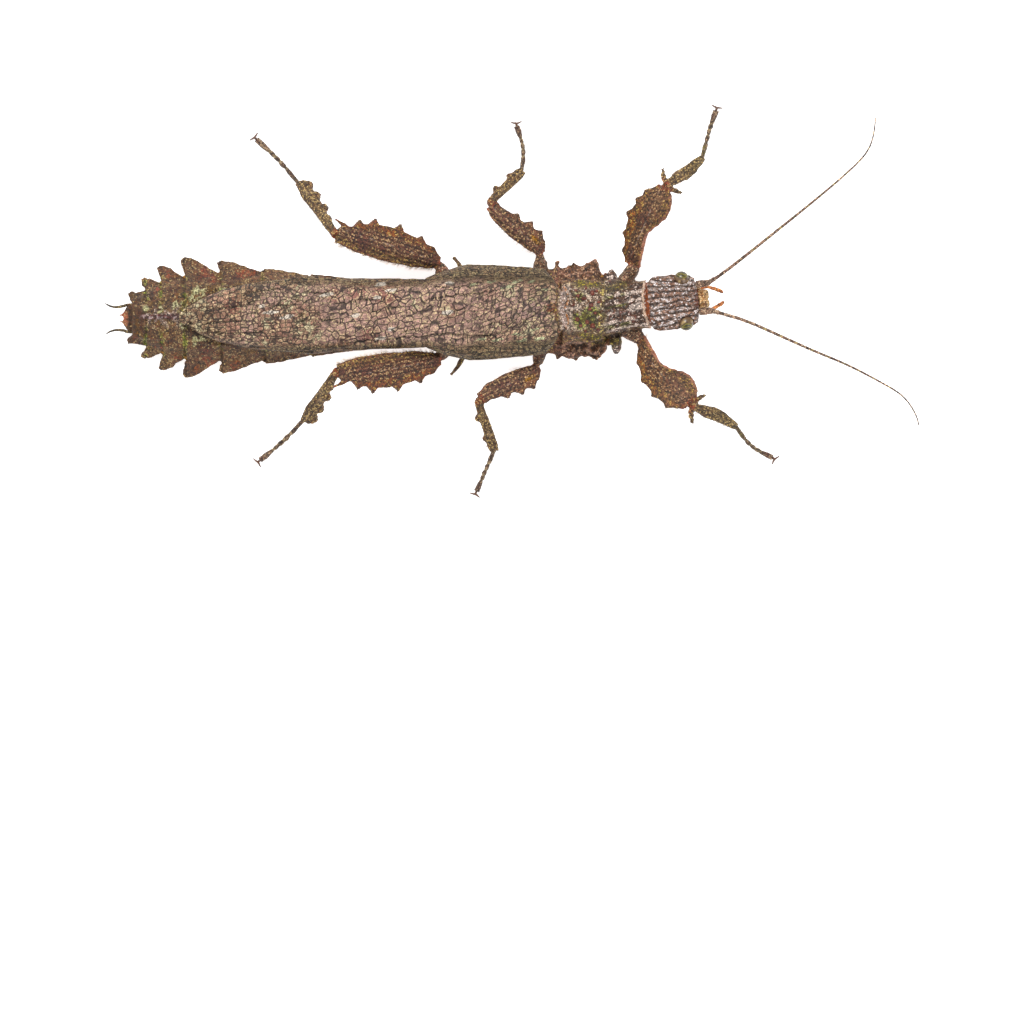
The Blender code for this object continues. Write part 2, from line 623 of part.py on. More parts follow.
def head_section(at, half, top, low):
    middle = low + 0.52 * (top - low)
    ring = []
    for i in range(16):
        angle = math.tau * (i + 0.5) / 16
        tall = top - middle if math.sin(angle) > 0 else middle - low
        across, height = superellipse(angle, half, tall, HEAD_BOXINESS)
        ring.append((at, across, middle + height))
    return ring


def make_head(insect):
    place, turn = (*HEAD_BACK, 0), (0, 0, BODY_YAW["head"])
    rings = [head_section(*station) for station in HEAD_STATIONS]
    head = insect.add("head", loft("head", rings), "head_cuticle", place, turn)
    clear_of(bpy.data.objects["prothorax"], head)
    x, y, z = EYE_PLACE
    for label, side in (("left", 1), ("right", -1)):
        shape = bmesh.new()
        bmesh.ops.create_uvsphere(shape, u_segments=10, v_segments=8, radius=EYE_RADIUS * MM)
        ball = bpy.data.meshes.new("eye")
        shape.to_mesh(ball)
        shape.free()
        eye = insect.add(f"eye_{label}", ball, "eye", on_head(x, side * y, z), turn)
        clear_of(head, eye)
    make_mouth(insect, head)
    make_antennae(insect, head)


def make_mouth(insect, head):
    """The pale clypeus and labrum in front of the head, and the two palps."""
    rings = [head_section(*station) for station in MOUTH_STATIONS]
    place, turn = (*HEAD_BACK, 0), (0, 0, BODY_YAW["head"])
    mouth = insect.add("mouthparts", loft("mouthparts", rings), "membrane", place, turn)
    clear_of(mouth, head)
    for label, side in (("left", 1), ("right", -1)):
        points = [on_head(x, side * y, z) for x, y, z in PALP_ROUTE]
        palp = insect.add(f"palp_{label}", tube("palp", points, PALP_RADII), "palp")
        clear_of(palp, head, mouth)


def smooth_route(points, count):
    """Evenly counted points on a Catmull-Rom curve through the given ones."""
    knots = [Vector(point) for point in points]
    knots = [2 * knots[0] - knots[1]] + knots + [2 * knots[-1] - knots[-2]]
    spans = len(knots) - 3
    route = []
    for i in range(count):
        place = spans * i / (count - 1)
        span = min(int(place), spans - 1)
        t = place - span
        a, b, c, d = knots[span:span + 4]
        route.append(0.5 * (2 * b + (c - a) * t + (2 * a - 5 * b + 4 * c - d) * t * t
                            + (3 * b - a - 3 * c + d) * t ** 3))
    return route


def make_antennae(insect, head):
    count = 20
    base, tip = ANTENNA_RADIUS
    for label, knots in ANTENNA_ROUTES.items():
        route = smooth_route(knots, count)
        radii = [base + (tip - base) * min(1.0, 1.6 * i / count) for i in range(count)]
        feeler = insect.add(f"antenna_{label}", tube("antenna", route, radii, 6),
                            "leg_cuticle")
        clear_of(feeler, head)


# Legs ------------------------------------------------------------------------------------

def aim(start, end):
    """The turn that points X from start to end and keeps Y level."""
    along = (Vector(end) - Vector(start)).normalized()
    across = Vector((0, 0, 1)).cross(along).normalized()
    up = along.cross(across)
    return Matrix((along, across, up)).transposed().to_euler()


def blade(name, length, shape, side, first):
    """A flat limb joint: a raised rib down the middle and a thin edge on each side."""
    span = TOOTH_SPAN / length
    places = [first, 1.0] + [u for u, height in shape["teeth"]]
    feet = [min(u + foot, 1.0) for u, height in shape["teeth"] for foot in (-span, span)]
    for u in feet + [u for u, width in shape["toothed"] + shape["smooth"]]:
        if u > first and min(abs(u - place) for place in places) > STATION_GAP:
            places.append(u)
    rings = []
    for u in sorted(places):
        tooth = sum(height * max(0.0, 1 - abs(u - at) / span) for at, height in shape["teeth"])
        out = side * (blend(shape["toothed"], u) + tooth)
        back = -side * blend(shape["smooth"], u)
        rib = shape["rib"] * (0.72 + 0.28 * math.sin(math.pi * u)) / 2
        thin = min(BLADE_EDGE, 1.6 * rib) / 2
        x, middle = u * length, 0.1 * (out + back)
        rings.append([(x, out, thin), (x, middle, rib), (x, back, thin), (x, back, -thin),
                      (x, middle, -rib), (x, out, -thin)])
    return loft(name, rings)


def make_tarsus(insect, name, ankle, toes):
    """Five short foot joints down to the floor, with a flat sole under the last one."""
    start, end = Vector(ankle), Vector((toes[0], toes[1], SOLE_HEIGHT))
    shares = [at for at, radius in TARSUS_JOINTS] + [1.0]
    points, radii = [], []
    for (at, radius), following in zip(TARSUS_JOINTS, shares[1:]):
        points += [at, at + 0.62 * (following - at)]
        radii += [TARSUS_NECK, radius]
    points.append(1.0)
    radii.append(TARSUS_TOE)
    level = TARSUS_JOINTS[-1][0]
    left = Vector((start.y - end.y, end.x - start.x, 0)).normalized()
    route = []
    for share in points:
        place = start.lerp(end, share) + left * TARSUS_BOW[name] * math.sin(math.pi * share)
        place.z = end.z + (start.z - end.z) * max(0.0, 1 - share / level) ** 1.2
        route.append(place)
    foot = insect.add(f"tarsus_{name}", tube("tarsus", route, radii, 6), "leg_cuticle")
    floor = bpy.data.objects.new("floor_cut", box_mesh("floor_cut", 200, 200, 4))
    bpy.context.scene.collection.objects.link(floor)
    floor.location = (0, 0, -2 * MM)
    joined(foot, floor, "DIFFERENCE")
    bpy.data.objects.remove(floor, do_unlink=True)
    return foot


def box_mesh(name, x, y, z):
    shape = bmesh.new()
    bmesh.ops.create_cube(shape, size=MM)
    bmesh.ops.scale(shape, verts=shape.verts, vec=(x, y, z))
    mesh = bpy.data.meshes.new(name)
    shape.to_mesh(mesh)
    shape.free()
    return mesh


def make_claws(insect, name, ankle, toes, foot):
    """A pair of curved claws at the tip of the foot."""
    along = (Vector((toes[0], toes[1], 0)) - Vector((ankle[0], ankle[1], 0))).normalized()
    turn = (0, 0, math.atan2(along.y, along.x))
    right = [(x, -share * CLAW_SPREAD, z, radius) for x, share, z, radius in CLAW_POINTS[:0:-1]]
    left = [(x, share * CLAW_SPREAD, z, radius) for x, share, z, radius in CLAW_POINTS]
    knots = right + left
    shape = tube("claws", [knot[:3] for knot in knots], [knot[3] for knot in knots], 6)
    claws = insect.add(f"claws_{name}", shape, "claw", (toes[0], toes[1], 0), turn)
    clear_of(claws, foot)


def make_leg(insect, name, joints, body):
    hip, knee, ankle, toes = joints
    pair, label = name.split("_")
    side = 1 if label == "left" else -1
    length = (Vector(knee) - Vector(hip)).length
    widths = FEMORA.get(name, FEMORA[pair])
    shape = blade("femur", length, widths, side * FEMUR_TEETH_SIDE[pair], 0.02)
    femur = insect.add(f"femur_{name}", shape, "leg_cuticle", hip, aim(hip, knee))
    if pair == "hind":
        out = side * FEMUR_TEETH_SIDE[pair]
        route = [(share * length, aside * out, 0) for share, aside in KNEE_SPINE]
        grow_onto(insect, femur, tube("spine", route, KNEE_SPINE_RADII, 6), hip, aim(hip, knee))
    length = (Vector(ankle) - Vector(knee)).length
    shape = blade("tibia", length, TIBIAE[pair], side * TIBIA_TEETH_SIDE[pair], 0.03)
    tibia = insect.add(f"tibia_{name}", shape, "leg_cuticle", knee, aim(knee, ankle))
    if pair == "front":
        add_knee_lobes(insect, tibia, knee, ankle)
    clear_of(tibia, femur)
    foot = make_tarsus(insect, name, ankle, toes)
    clear_of(foot, tibia)
    make_claws(insect, name, ankle, toes, foot)
    make_coxa(insect, name, hip, side, femur, body)


def add_knee_lobes(insect, tibia, knee, ankle):
    """Two leaf-like lobes that stand out either side of the front knee."""
    turn = aim(knee, ankle)
    thin = KNEE_LOBE_THICKNESS / 2
    for side in (1, -1):
        rings = []
        for share, wide in KNEE_LOBE:
            out = side * (0.1 + KNEE_LOBE_REACH * share)
            back = 0.55 + 0.35 * share + 0.9 * share ** 2
            drop = -KNEE_LOBE_DROP * share
            rings.append([(back - wide, out, drop), (back, out, drop + thin),
                          (back + wide, out, drop), (back, out, drop - thin)])
        grow_onto(insect, tibia, loft("lobe", rings), knee, turn)


def make_coxa(insect, name, hip, side, femur, body):
    pair = name.split("_")[0]
    (s, t, z), radius = COXA_ROOTS[pair]
    root = Vector((s, side * t + (FRONT_COXA_SHIFT if pair == "front" else 0.0), z))
    end = Vector(hip)
    points = [root.lerp(end, share) for share, width in COXA_SHAPE]
    points.append(end + (end - root).normalized() * COXA_TIP[0])
    radii = [radius * width for share, width in (*COXA_SHAPE, COXA_TIP)]
    coxa = insect.add(f"coxa_{name}", tube("coxa", points, radii), "leg_cuticle")
    clear_of(coxa, femur, *body)


def make_legs(insect):
    part = bpy.data.objects
    for name, joints in LEGS.items():
        pair, label = name.split("_")
        if pair == "front":
            body = (part["prothorax"],)
        elif pair == "mid":
            body = (part["metathorax"], part["mesothorax"], part[f"tegmen_{label}"])
        else:
            body = (part["metathorax"], part["abdomen_1"], part[f"tegmen_{label}"])
        make_leg(insect, name, joints, body)


def main():
    clear_scene()
    insect = Insect("stick_insect")
    make_wings(insect)
    make_abdomen(insect)
    make_thorax(insect)
    make_head(insect)
    make_legs(insect)


main()
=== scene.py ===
"""The finish of the bark stick insect: one sculpted skin over its body and limbs, and
separate folded wings, eyes, feelers, mouthparts, palps, claws and bristle fringes.

Lengths are in millimetres and turn into metres as meshes are made. Places on the body are
(s, t, z): along it from the end of the abdomen, to its left from the midline, and up.
"""

import itertools
import math

import bmesh
import bpy
import numpy as np
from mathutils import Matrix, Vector
from mathutils.bvhtree import BVHTree
from mathutils.geometry import barycentric_transform


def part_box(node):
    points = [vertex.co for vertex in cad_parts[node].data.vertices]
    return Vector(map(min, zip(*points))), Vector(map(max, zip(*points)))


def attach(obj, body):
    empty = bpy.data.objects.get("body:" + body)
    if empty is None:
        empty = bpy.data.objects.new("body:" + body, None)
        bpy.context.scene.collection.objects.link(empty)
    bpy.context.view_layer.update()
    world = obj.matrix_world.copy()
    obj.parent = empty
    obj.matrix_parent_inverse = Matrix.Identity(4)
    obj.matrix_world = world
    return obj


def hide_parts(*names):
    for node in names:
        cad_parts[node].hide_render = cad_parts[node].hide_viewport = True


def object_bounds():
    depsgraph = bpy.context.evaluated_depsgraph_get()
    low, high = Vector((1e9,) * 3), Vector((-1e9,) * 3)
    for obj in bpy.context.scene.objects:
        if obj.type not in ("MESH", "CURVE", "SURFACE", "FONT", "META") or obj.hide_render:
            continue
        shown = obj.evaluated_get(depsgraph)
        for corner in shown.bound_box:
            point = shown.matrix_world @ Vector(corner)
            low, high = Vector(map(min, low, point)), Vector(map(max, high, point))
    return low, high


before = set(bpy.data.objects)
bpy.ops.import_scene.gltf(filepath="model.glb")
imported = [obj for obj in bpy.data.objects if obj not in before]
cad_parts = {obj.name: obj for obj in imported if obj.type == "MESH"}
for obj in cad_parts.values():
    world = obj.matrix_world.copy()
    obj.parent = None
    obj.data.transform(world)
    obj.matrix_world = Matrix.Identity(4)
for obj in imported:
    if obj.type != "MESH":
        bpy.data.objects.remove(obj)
CAD_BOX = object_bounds()

MM = 0.001
VOXEL = 0.085
GROWTH = 0.10              # how far each solid swells so that its skin meets its neighbours'
WING_TIP = 5.4             # from the end of the abdomen to the tip of the wings

LEFT_WING, RIGHT_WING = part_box("wing_left"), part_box("wing_right")
MIDLINE = (LEFT_WING[0].y + RIGHT_WING[1].y) / 2
ORIGIN = np.array((LEFT_WING[0].x - WING_TIP * MM, MIDLINE, 0.0))

FEET = [f"{pair}_{side}" for pair in ("front", "mid", "hind") for side in ("left", "right")]
WING_NODES = ("wing_left", "wing_right", "tegmen_left", "tegmen_right")
SEPARATE = ("eye", "claws", "antenna", "palp", "mouthparts", "wing", "tegmen", "cercus")

# How many times each kind of piece is smoothed before the pieces are made one.
SMOOTHING_OF_THE_REST = 3
SMOOTHING = {"wing": 14, "tegmen": 14, "abdomen": 6, "mesothorax": 6, "metathorax": 6,
             "prothorax": 6, "head": 10, "coxa": 5, "femur": 3, "tibia": 3, "tarsus": 3}


# Colours and random fields -----------------------------------------------------------------

def paint(red, green, blue):
    """A colour in the usual 0 to 255 scale, as linear light."""
    share = np.array((red, green, blue)) / 255
    return np.where(share < 0.04045, share / 12.92, ((share + 0.055) / 1.055) ** 2.4)


VIVIDNESS = 1.22           # how far colours move away from grey, 1 for not at all
WARMTH = np.array((1.05, 0.94, 0.86))      # what each channel is multiplied by


def vivid(colours):
    """Richer and warmer, as the white light of the studio washes pigments out."""
    grey = (colours @ np.array((0.2126, 0.7152, 0.0722)))[:, None]
    return np.clip((grey + (colours - grey) * VIVIDNESS) * WARMTH, 0, 1)


def ramp(value, low, high):
    """0 below low, 1 above high, and a smooth rise between them."""
    share = np.clip((value - low) / (high - low), 0, 1)
    return share * share * (3 - 2 * share)


def near(value, centre, reach):
    """1 at the centre, falling smoothly to 0 at the reach on either side of it."""
    return 1 - ramp(np.abs(value - centre), 0, reach)


def hashed(cells, seed):
    """A repeatable random number from 0 to 1 for each whole-number cell."""
    mix = np.full(cells.shape[1:], seed, np.uint32)
    for cell in cells:
        mix = (mix ^ cell.astype(np.int32).view(np.uint32)) * np.uint32(0x9E3779B1)
        mix ^= mix >> np.uint32(15)
        mix *= np.uint32(0x85EBCA77)
        mix ^= mix >> np.uint32(13)
    return mix / 2.0 ** 32


def noise(places, scale, seed):
    """Smooth random values from -1 to 1, with lumps about as wide as the scale."""
    spread = places / scale
    low = np.floor(spread)
    share = spread - low
    share = share * share * (3 - 2 * share)
    total = np.zeros(places.shape[1])
    for corner in itertools.product((0, 1), repeat=len(places)):
        weight = np.ones(places.shape[1])
        for axis, step in enumerate(corner):
            weight = weight * (share[axis] if step else 1 - share[axis])
        total += weight * hashed(low + np.array(corner)[:, None], seed)
    return 2 * total - 1


# Surfaces as arrays ------------------------------------------------------------------------

class Coat:
    """The points of a surface with their relief, colours, flecks, grains and gloss."""

    FIELDS = ("lift", "ground", "fleck", "pale", "dark", "gloss", "grains", "plates", "large",
              "fringe")

    def __init__(self, points, normals):
        count = len(points)
        self.points, self.normals = points, normals
        self.lift = np.zeros(count)
        self.ground = np.tile(paint(120, 98, 80), (count, 1))
        self.fleck = np.tile(paint(190, 178, 140), (count, 1))
        self.pale = np.full(count, 0.25)
        self.dark = np.full(count, 0.22)
        self.gloss = np.full(count, 0.35)
        self.grains = points / 0.20
        self.plates = points.copy()
        self.large = np.zeros(count)
        self.fringe = np.zeros(count)

    def take(self, chosen):
        part = Coat(self.points[chosen], self.normals[chosen])
        for field in self.FIELDS:
            setattr(part, field, getattr(self, field)[chosen])
        return part

    def put(self, chosen, part):
        for field in self.FIELDS:
            getattr(self, field)[chosen] = getattr(part, field)

    def blend(self, other, weight):
        """Mix in another coat of the same points."""
        for field in [name for name in self.FIELDS if name not in ("grains", "plates")]:
            mine, theirs = getattr(self, field), getattr(other, field)
            share = weight[:, None] if mine.ndim > 1 else weight
            setattr(self, field, mine + (theirs - mine) * share)
        self.grains = np.where(weight[:, None] > 0.5, other.grains, self.grains)

    def noise(self, scale, seed):
        return noise(self.points.T, scale, seed)

    def patches(self, scale, seed, low, high):
        """Soft patches that cover what lies above the high level of a noise."""
        return ramp(self.noise(scale, seed), low, high)

    def spots(self, circles):
        """1 inside any of the given soft circles, and 0 away from them."""
        cover = np.zeros(len(self.points))
        for place, aside, radius in circles:
            away = np.hypot(self.points[:, 0] - place, self.points[:, 1] - aside)
            cover = np.maximum(cover, 1 - ramp(away, 0.45 * radius, 1.15 * radius))
        return cover

    def tint(self, colour, weight):
        """Paint the ground towards a colour."""
        weight = np.broadcast_to(weight, self.pale.shape)
        self.ground += (paint(*colour) - self.ground) * weight[:, None]

    def shade(self, weight):
        """Darken the ground."""
        self.ground *= 1 - np.asarray(weight)[:, None]

    def mottle(self, weight):
        """Lighten the ground where the weight is above 0, and darken it where it is below."""
        self.ground *= (1 + weight)[:, None]

    def flecked(self, colour, pale, weight=1.0):
        """Give the pale grains a colour, and the share of all grains that they are."""
        weight = np.broadcast_to(weight, self.pale.shape)
        self.fleck += (paint(*colour) - self.fleck) * weight[:, None]
        self.pale += (pale - self.pale) * weight

    def bare(self, weight):
        """Take away pale and dark grains."""
        self.pale *= 1 - weight
        self.dark *= 1 - weight


def to_body(co):
    return (co - ORIGIN) / MM


def to_world(points):
    return points * MM + ORIGIN


def welded(node, grow=0.0):
    """A CAD node's surface in body measures, swollen along its normals."""
    shape = bmesh.new()
    shape.from_mesh(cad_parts[node].data)
    bmesh.ops.remove_doubles(shape, verts=shape.verts, dist=0.002 * MM)
    bmesh.ops.recalc_face_normals(shape, faces=shape.faces)
    shape.normal_update()
    points = to_body(np.array([vert.co + vert.normal * grow * MM for vert in shape.verts]))
    faces = [[vert.index for vert in face.verts] for face in shape.faces]
    shape.free()
    return points, faces


def mesh_of(name, points, faces):
    mesh = bpy.data.meshes.new(name)
    mesh.from_pydata(points.tolist(), [], faces)
    return mesh


def added(name, data):
    """A new object, linked to the scene."""
    item = bpy.data.objects.new(name, data)
    bpy.context.scene.collection.objects.link(item)
    return item


def remeshed(name, points, faces):
    """The outer surface of closed shapes that may overlap, as even small quads."""
    piece = added(name, mesh_of(name, points, faces))
    grid = piece.modifiers.new("Grid", "REMESH")
    grid.mode = "VOXEL"
    grid.voxel_size = VOXEL
    state = piece.evaluated_get(bpy.context.evaluated_depsgraph_get())
    mesh = bpy.data.meshes.new_from_object(state)
    raw = piece.data
    bpy.data.objects.remove(piece)
    bpy.data.meshes.remove(raw)
    return mesh


def arrays(mesh):
    """Points, quads and edges of a mesh of quads."""
    points = np.zeros(len(mesh.vertices) * 3)
    mesh.vertices.foreach_get("co", points)
    corners = np.zeros(len(mesh.loops), np.int32)
    mesh.loops.foreach_get("vertex_index", corners)
    edges = np.zeros(len(mesh.edges) * 2, np.int32)
    mesh.edges.foreach_get("vertices", edges)
    return points.reshape(-1, 3), corners.reshape(-1, 4), edges.reshape(-1, 2)


def neighbour_mean(values, edges, count):
    """Each point's average over the points that share an edge with it."""
    a, b = edges.T
    total = np.stack([np.bincount(a, column[b], count) + np.bincount(b, column[a], count)
                      for column in values.T], axis=1)
    links = np.bincount(edges.ravel(), minlength=count)
    return total / np.maximum(links, 1)[:, None]


def smoothed(points, edges, steps):
    """Even out facets without shrinking the shape."""
    for step in range(2 * steps):
        pull = 0.60 if step % 2 == 0 else -0.62
        mean = neighbour_mean(points, edges, len(points))
        points = points + pull * (mean - points)
    return points


def kind_of(node):
    return node.split("_")[0]


def ball(middle, radii):
    """Corners and faces of an ellipsoid."""
    shape = bmesh.new()
    bmesh.ops.create_icosphere(shape, subdivisions=3, radius=1.0)
    points = np.array([vert.co for vert in shape.verts]) * radii + middle
    faces = [[vert.index for vert in face.verts] for face in shape.faces]
    shape.free()
    return points, faces


def one_surface(name, nodes, bridges=()):
    """One closed skin over several CAD nodes and bridges between them, in body measures."""
    points, faces, count = [], [], 0
    shapes = [(node, *welded(node, GROWTH)) for node in nodes]
    shapes += [("bridge", *ball(middle, radii)) for middle, radii in bridges]
    for node, corners, polygons in shapes:
        mesh = remeshed(node, corners, polygons)
        piece, quads, edges = arrays(mesh)
        bpy.data.meshes.remove(mesh)
        steps = SMOOTHING.get(kind_of(node), SMOOTHING_OF_THE_REST)
        points.append(smoothed(piece, edges, steps))
        faces.append(quads + count)
        count += len(piece)
    mesh = remeshed(name, np.concatenate(points), np.concatenate(faces).tolist())
    mesh.name = name
    return mesh


def normals_of(mesh):
    normals = np.zeros(len(mesh.vertices) * 3)
    mesh.vertices.foreach_get("normal", normals)
    return normals.reshape(-1, 3)


def set_points(mesh, points):
    mesh.vertices.foreach_set("co", np.ascontiguousarray(points, np.float32).ravel())
    mesh.update()


def nearest_nodes(points, nodes):
    """The number of the CAD node that each point lies on, and its distance from it."""
    corners, faces, owner, count = [], [], [], 0
    for number, node in enumerate(nodes):
        piece, polygons = welded(node)
        corners += piece.tolist()
        faces += [[index + count for index in polygon] for polygon in polygons]
        owner += [number] * len(polygons)
        count += len(piece)
    tree = BVHTree.FromPolygons(corners, faces)
    hits = [tree.find_nearest(point)[2:] for point in points.tolist()]
    return np.array([owner[face] for face, _ in hits]), np.array([gap for _, gap in hits])


def sharpness(points, normals, edges):
    """How far each point stands out from its surroundings."""
    mean = points
    for _ in range(4):
        mean = neighbour_mean(mean, edges, len(points))
    return ((points - mean) * normals).sum(1)


# Places along the limbs --------------------------------------------------------------------

def centre(node):
    low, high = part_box(node)
    return to_body(np.array((low + high) / 2))


def sliced(node, field, count, margin=0.04):
    """Middles of a CAD node's cuts at even levels of a field over its points."""
    points, faces = welded(node)
    level = field(points)
    span = level.max() - level.min()
    pairs = np.array(sorted({tuple(sorted((face[i - 1], face[i])))
                             for face in faces for i in range(len(face))}))
    low, high = level[pairs[:, 0]], level[pairs[:, 1]]
    middles = []
    for share in np.linspace(margin, 1 - margin, count):
        cut = level.min() + share * span
        crossed = (low < cut) != (high < cut)
        part = ((cut - low) / np.where(crossed, high - low, 1))[crossed, None]
        a, b = points[pairs[crossed, 0]], points[pairs[crossed, 1]]
        middles.append((a + (b - a) * part).mean(0))
    return np.array(middles)


def centreline(node, root, count):
    """The middle of a long limb, from the end nearest to a point."""
    return sliced(node, lambda points: np.linalg.norm(points - root, axis=1), count)


class Limb:
    """Measures along, across and up from a limb joint's own middle line."""

    def __init__(self, node, before):
        points = welded(node)[0]
        self.middle = points.mean(0)
        along = np.linalg.svd(points - self.middle, full_matrices=False)[2][0]
        if (centre(before) - self.middle) @ along > 0:
            along = -along
        across = np.cross((0, 0, 1), along)
        self.along = along
        self.across = across / np.linalg.norm(across)
        self.up = np.cross(self.along, self.across)
        reach = (points - self.middle) @ self.along
        self.start, self.length = reach.min(), reach.max() - reach.min()
        aside = (points - self.middle) @ self.across
        if aside.max() < -aside.min():
            self.across, aside = -self.across, -aside
        self.edges = aside.min(), aside.max()

    def measure(self, points):
        """Share of the length, distance across towards the teeth, and height."""
        away = points - self.middle
        share = (away @ self.along - self.start) / self.length
        return share, away @ self.across, away @ self.up


class Heading:
    """Measures along and across a part of the body that turns a little to the left."""

    def __init__(self, node, ahead):
        self.middle = centre(node)[:2]
        along = centre(ahead)[:2] - self.middle
        self.along = along / np.linalg.norm(along)
        points = welded(node)[0][:, :2]
        self.back = ((points - self.middle) @ self.along).min()

    def measure(self, points):
        """Distance from the part's rear end, and distance to the left of its middle."""
        away = points[:, :2] - self.middle
        across = np.array((-self.along[1], self.along[0]))
        return away @ self.along - self.back, away @ across


# Folded wings ------------------------------------------------------------------------------

# Pale lichen on the wings: place along and across, and radius.
LICHENS = ((6.3, 0.15, 1.1), (7.9, 1.3, 0.9), (7.8, -1.25, 0.85), (18.6, 2.55, 1.2),
           (19.3, -1.35, 1.4), (17.3, 1.1, 0.9), (15.2, -0.8, 0.8), (31.4, 1.3, 1.0),
           (29.2, 2.3, 0.5), (20.6, -2.4, 0.8), (41.8, 2.35, 1.0), (43.6, -2.3, 1.3),
           (34.8, 0.1, 0.7), (40.3, -1.9, 0.8), (13.2, -2.6, 0.7), (15.0, -2.9, 0.6))
# Short pale scars that run along the wings: place along and across, and half-length.
SCARS = ((27.7, 3.3, 0.75), (28.7, 2.6, 0.65), (27.3, 1.8, 0.40), (28.8, -1.75, 0.45),
         (27.5, -2.75, 0.65), (24.8, -0.2, 0.50), (17.3, -0.2, 0.80), (15.5, 0.3, 0.85),
         (14.6, 1.1, 0.55), (35.0, 0.0, 0.60), (35.2, 3.2, 0.50), (21.9, 2.25, 0.90))
# Green-white flecks along the front of the wing covers, measured as the scars are.
FRONT_FLECKS = ((37.8, 3.05, 0.9), (39.6, 3.3, 1.0), (41.6, 2.7, 1.2), (42.6, 3.3, 0.9),
                (44.3, 3.25, 0.6), (45.6, 2.3, 0.7), (38.5, -3.1, 1.1), (40.3, -3.15, 0.9),
                (42.7, -2.5, 0.9), (43.1, -3.2, 0.8), (44.6, -2.0, 0.7), (45.2, -3.0, 0.8))
# Hollows where the two wings part, sunk and darkened with painted shade, measured as the lichen is.
HOLLOWS = ((19.0, -0.35, 0.55), (18.4, 1.75, 0.45), (6.6, -1.05, 0.55), (7.5, -1.45, 0.50),
           (8.6, -1.75, 0.45), (9.6, -1.95, 0.35), (6.0, 0.60, 0.45), (6.7, 0.45, 0.35))
# Creases along the wings, sunk into the relief and darkened with painted shade, each as places that
# it passes: along and across.
CREASES = (((31.5, 1.05), (33.5, 1.5), (36.0, 1.9), (38.2, 2.1), (40.5, 2.15)),
           ((26.2, 0.1), (28.3, 0.45), (30.2, 0.75)), ((34.2, -0.5), (35.6, -0.1), (37.4, 0.75)),
           ((29.3, -2.4), (31.6, -1.75), (33.4, -1.4)), ((19.3, 2.6), (21.0, 2.35), (23.4, 2.45)),
           ((23.2, -3.3), (26.0, -3.05), (30.0, -2.75), (34.0, -2.45), (38.5, -2.6), (41.0, -3.0)),
           ((38.3, -1.9), (40.2, -1.2), (42.0, -1.75)), ((7.5, -0.9), (10.0, -0.75), (12.6, -0.6)),
           ((9.5, -1.9), (12.5, -2.0), (15.0, -1.75)), ((8.6, 0.75), (11.6, 1.0), (14.6, 1.6)),
           ((12.0, 2.3), (15.0, 2.9), (17.5, 3.0)), ((18.0, -0.9), (20.5, -0.6), (23.5, -0.9)),
           ((22.0, 1.1), (25.0, 1.45), (28.0, 1.6)), ((15.5, 0.9), (18.5, 1.25)),
           ((36.8, 3.0), (40.0, 3.6), (43.5, 3.9)), ((33.0, 2.9), (35.6, 2.75), (38.2, 3.0)))
# The edge of the left wing cover where it laps over the right one.
OVERLAP = ((35.5, -2.9), (39.0, -2.6), (41.2, -2.2), (43.0, -1.3), (44.5, -0.35), (46.2, 0.80))
# How far the rows of plates have drifted to the left at places along the wings.
VEIN_SLANT = ((5.0, -1.65), (20.0, 0.0), (36.0, 2.7), (46.5, 6.9))
# Reddish patches of the wings, measured as the lichen is.
RED_PATCHES = ((28.2, 2.4, 1.9), (25.0, 2.9, 1.7), (26.4, -2.5, 1.3), (23.6, -2.9, 0.9),
               (43.4, -1.2, 0.6), (11.5, 1.2, 1.2), (22.5, 2.2, 1.0))
SCUTELLUM = (46.25, 0.25, 0.52)                # the knob between the wing covers


def flat_noise(s, t, wide, narrow, seed):
    """Noise over the wings, in streaks along them."""
    return noise(np.stack((s / wide, t / narrow)), 1.0, seed)


def creases(s, t):
    """Depth of the creases, each a little wavy and of uneven width."""
    depth = np.zeros(len(s))
    for number, route in enumerate(CREASES):
        places, across = np.transpose(route)
        seat = np.full(len(s), 7.0 * number)
        wander = 0.15 * noise(np.stack((s, seat)), 0.45, 11)
        width = 0.055 + 0.055 * noise(np.stack((s, seat)), 0.5, 12)
        reach = ramp(s, places[0], places[0] + 0.8) * (1 - ramp(s, places[-1] - 0.8, places[-1]))
        away = np.abs(t - np.interp(s, places, across) - wander)
        depth = np.maximum(depth, reach * (1 - ramp(away, width * 0.6, width + 0.07)))
    return depth


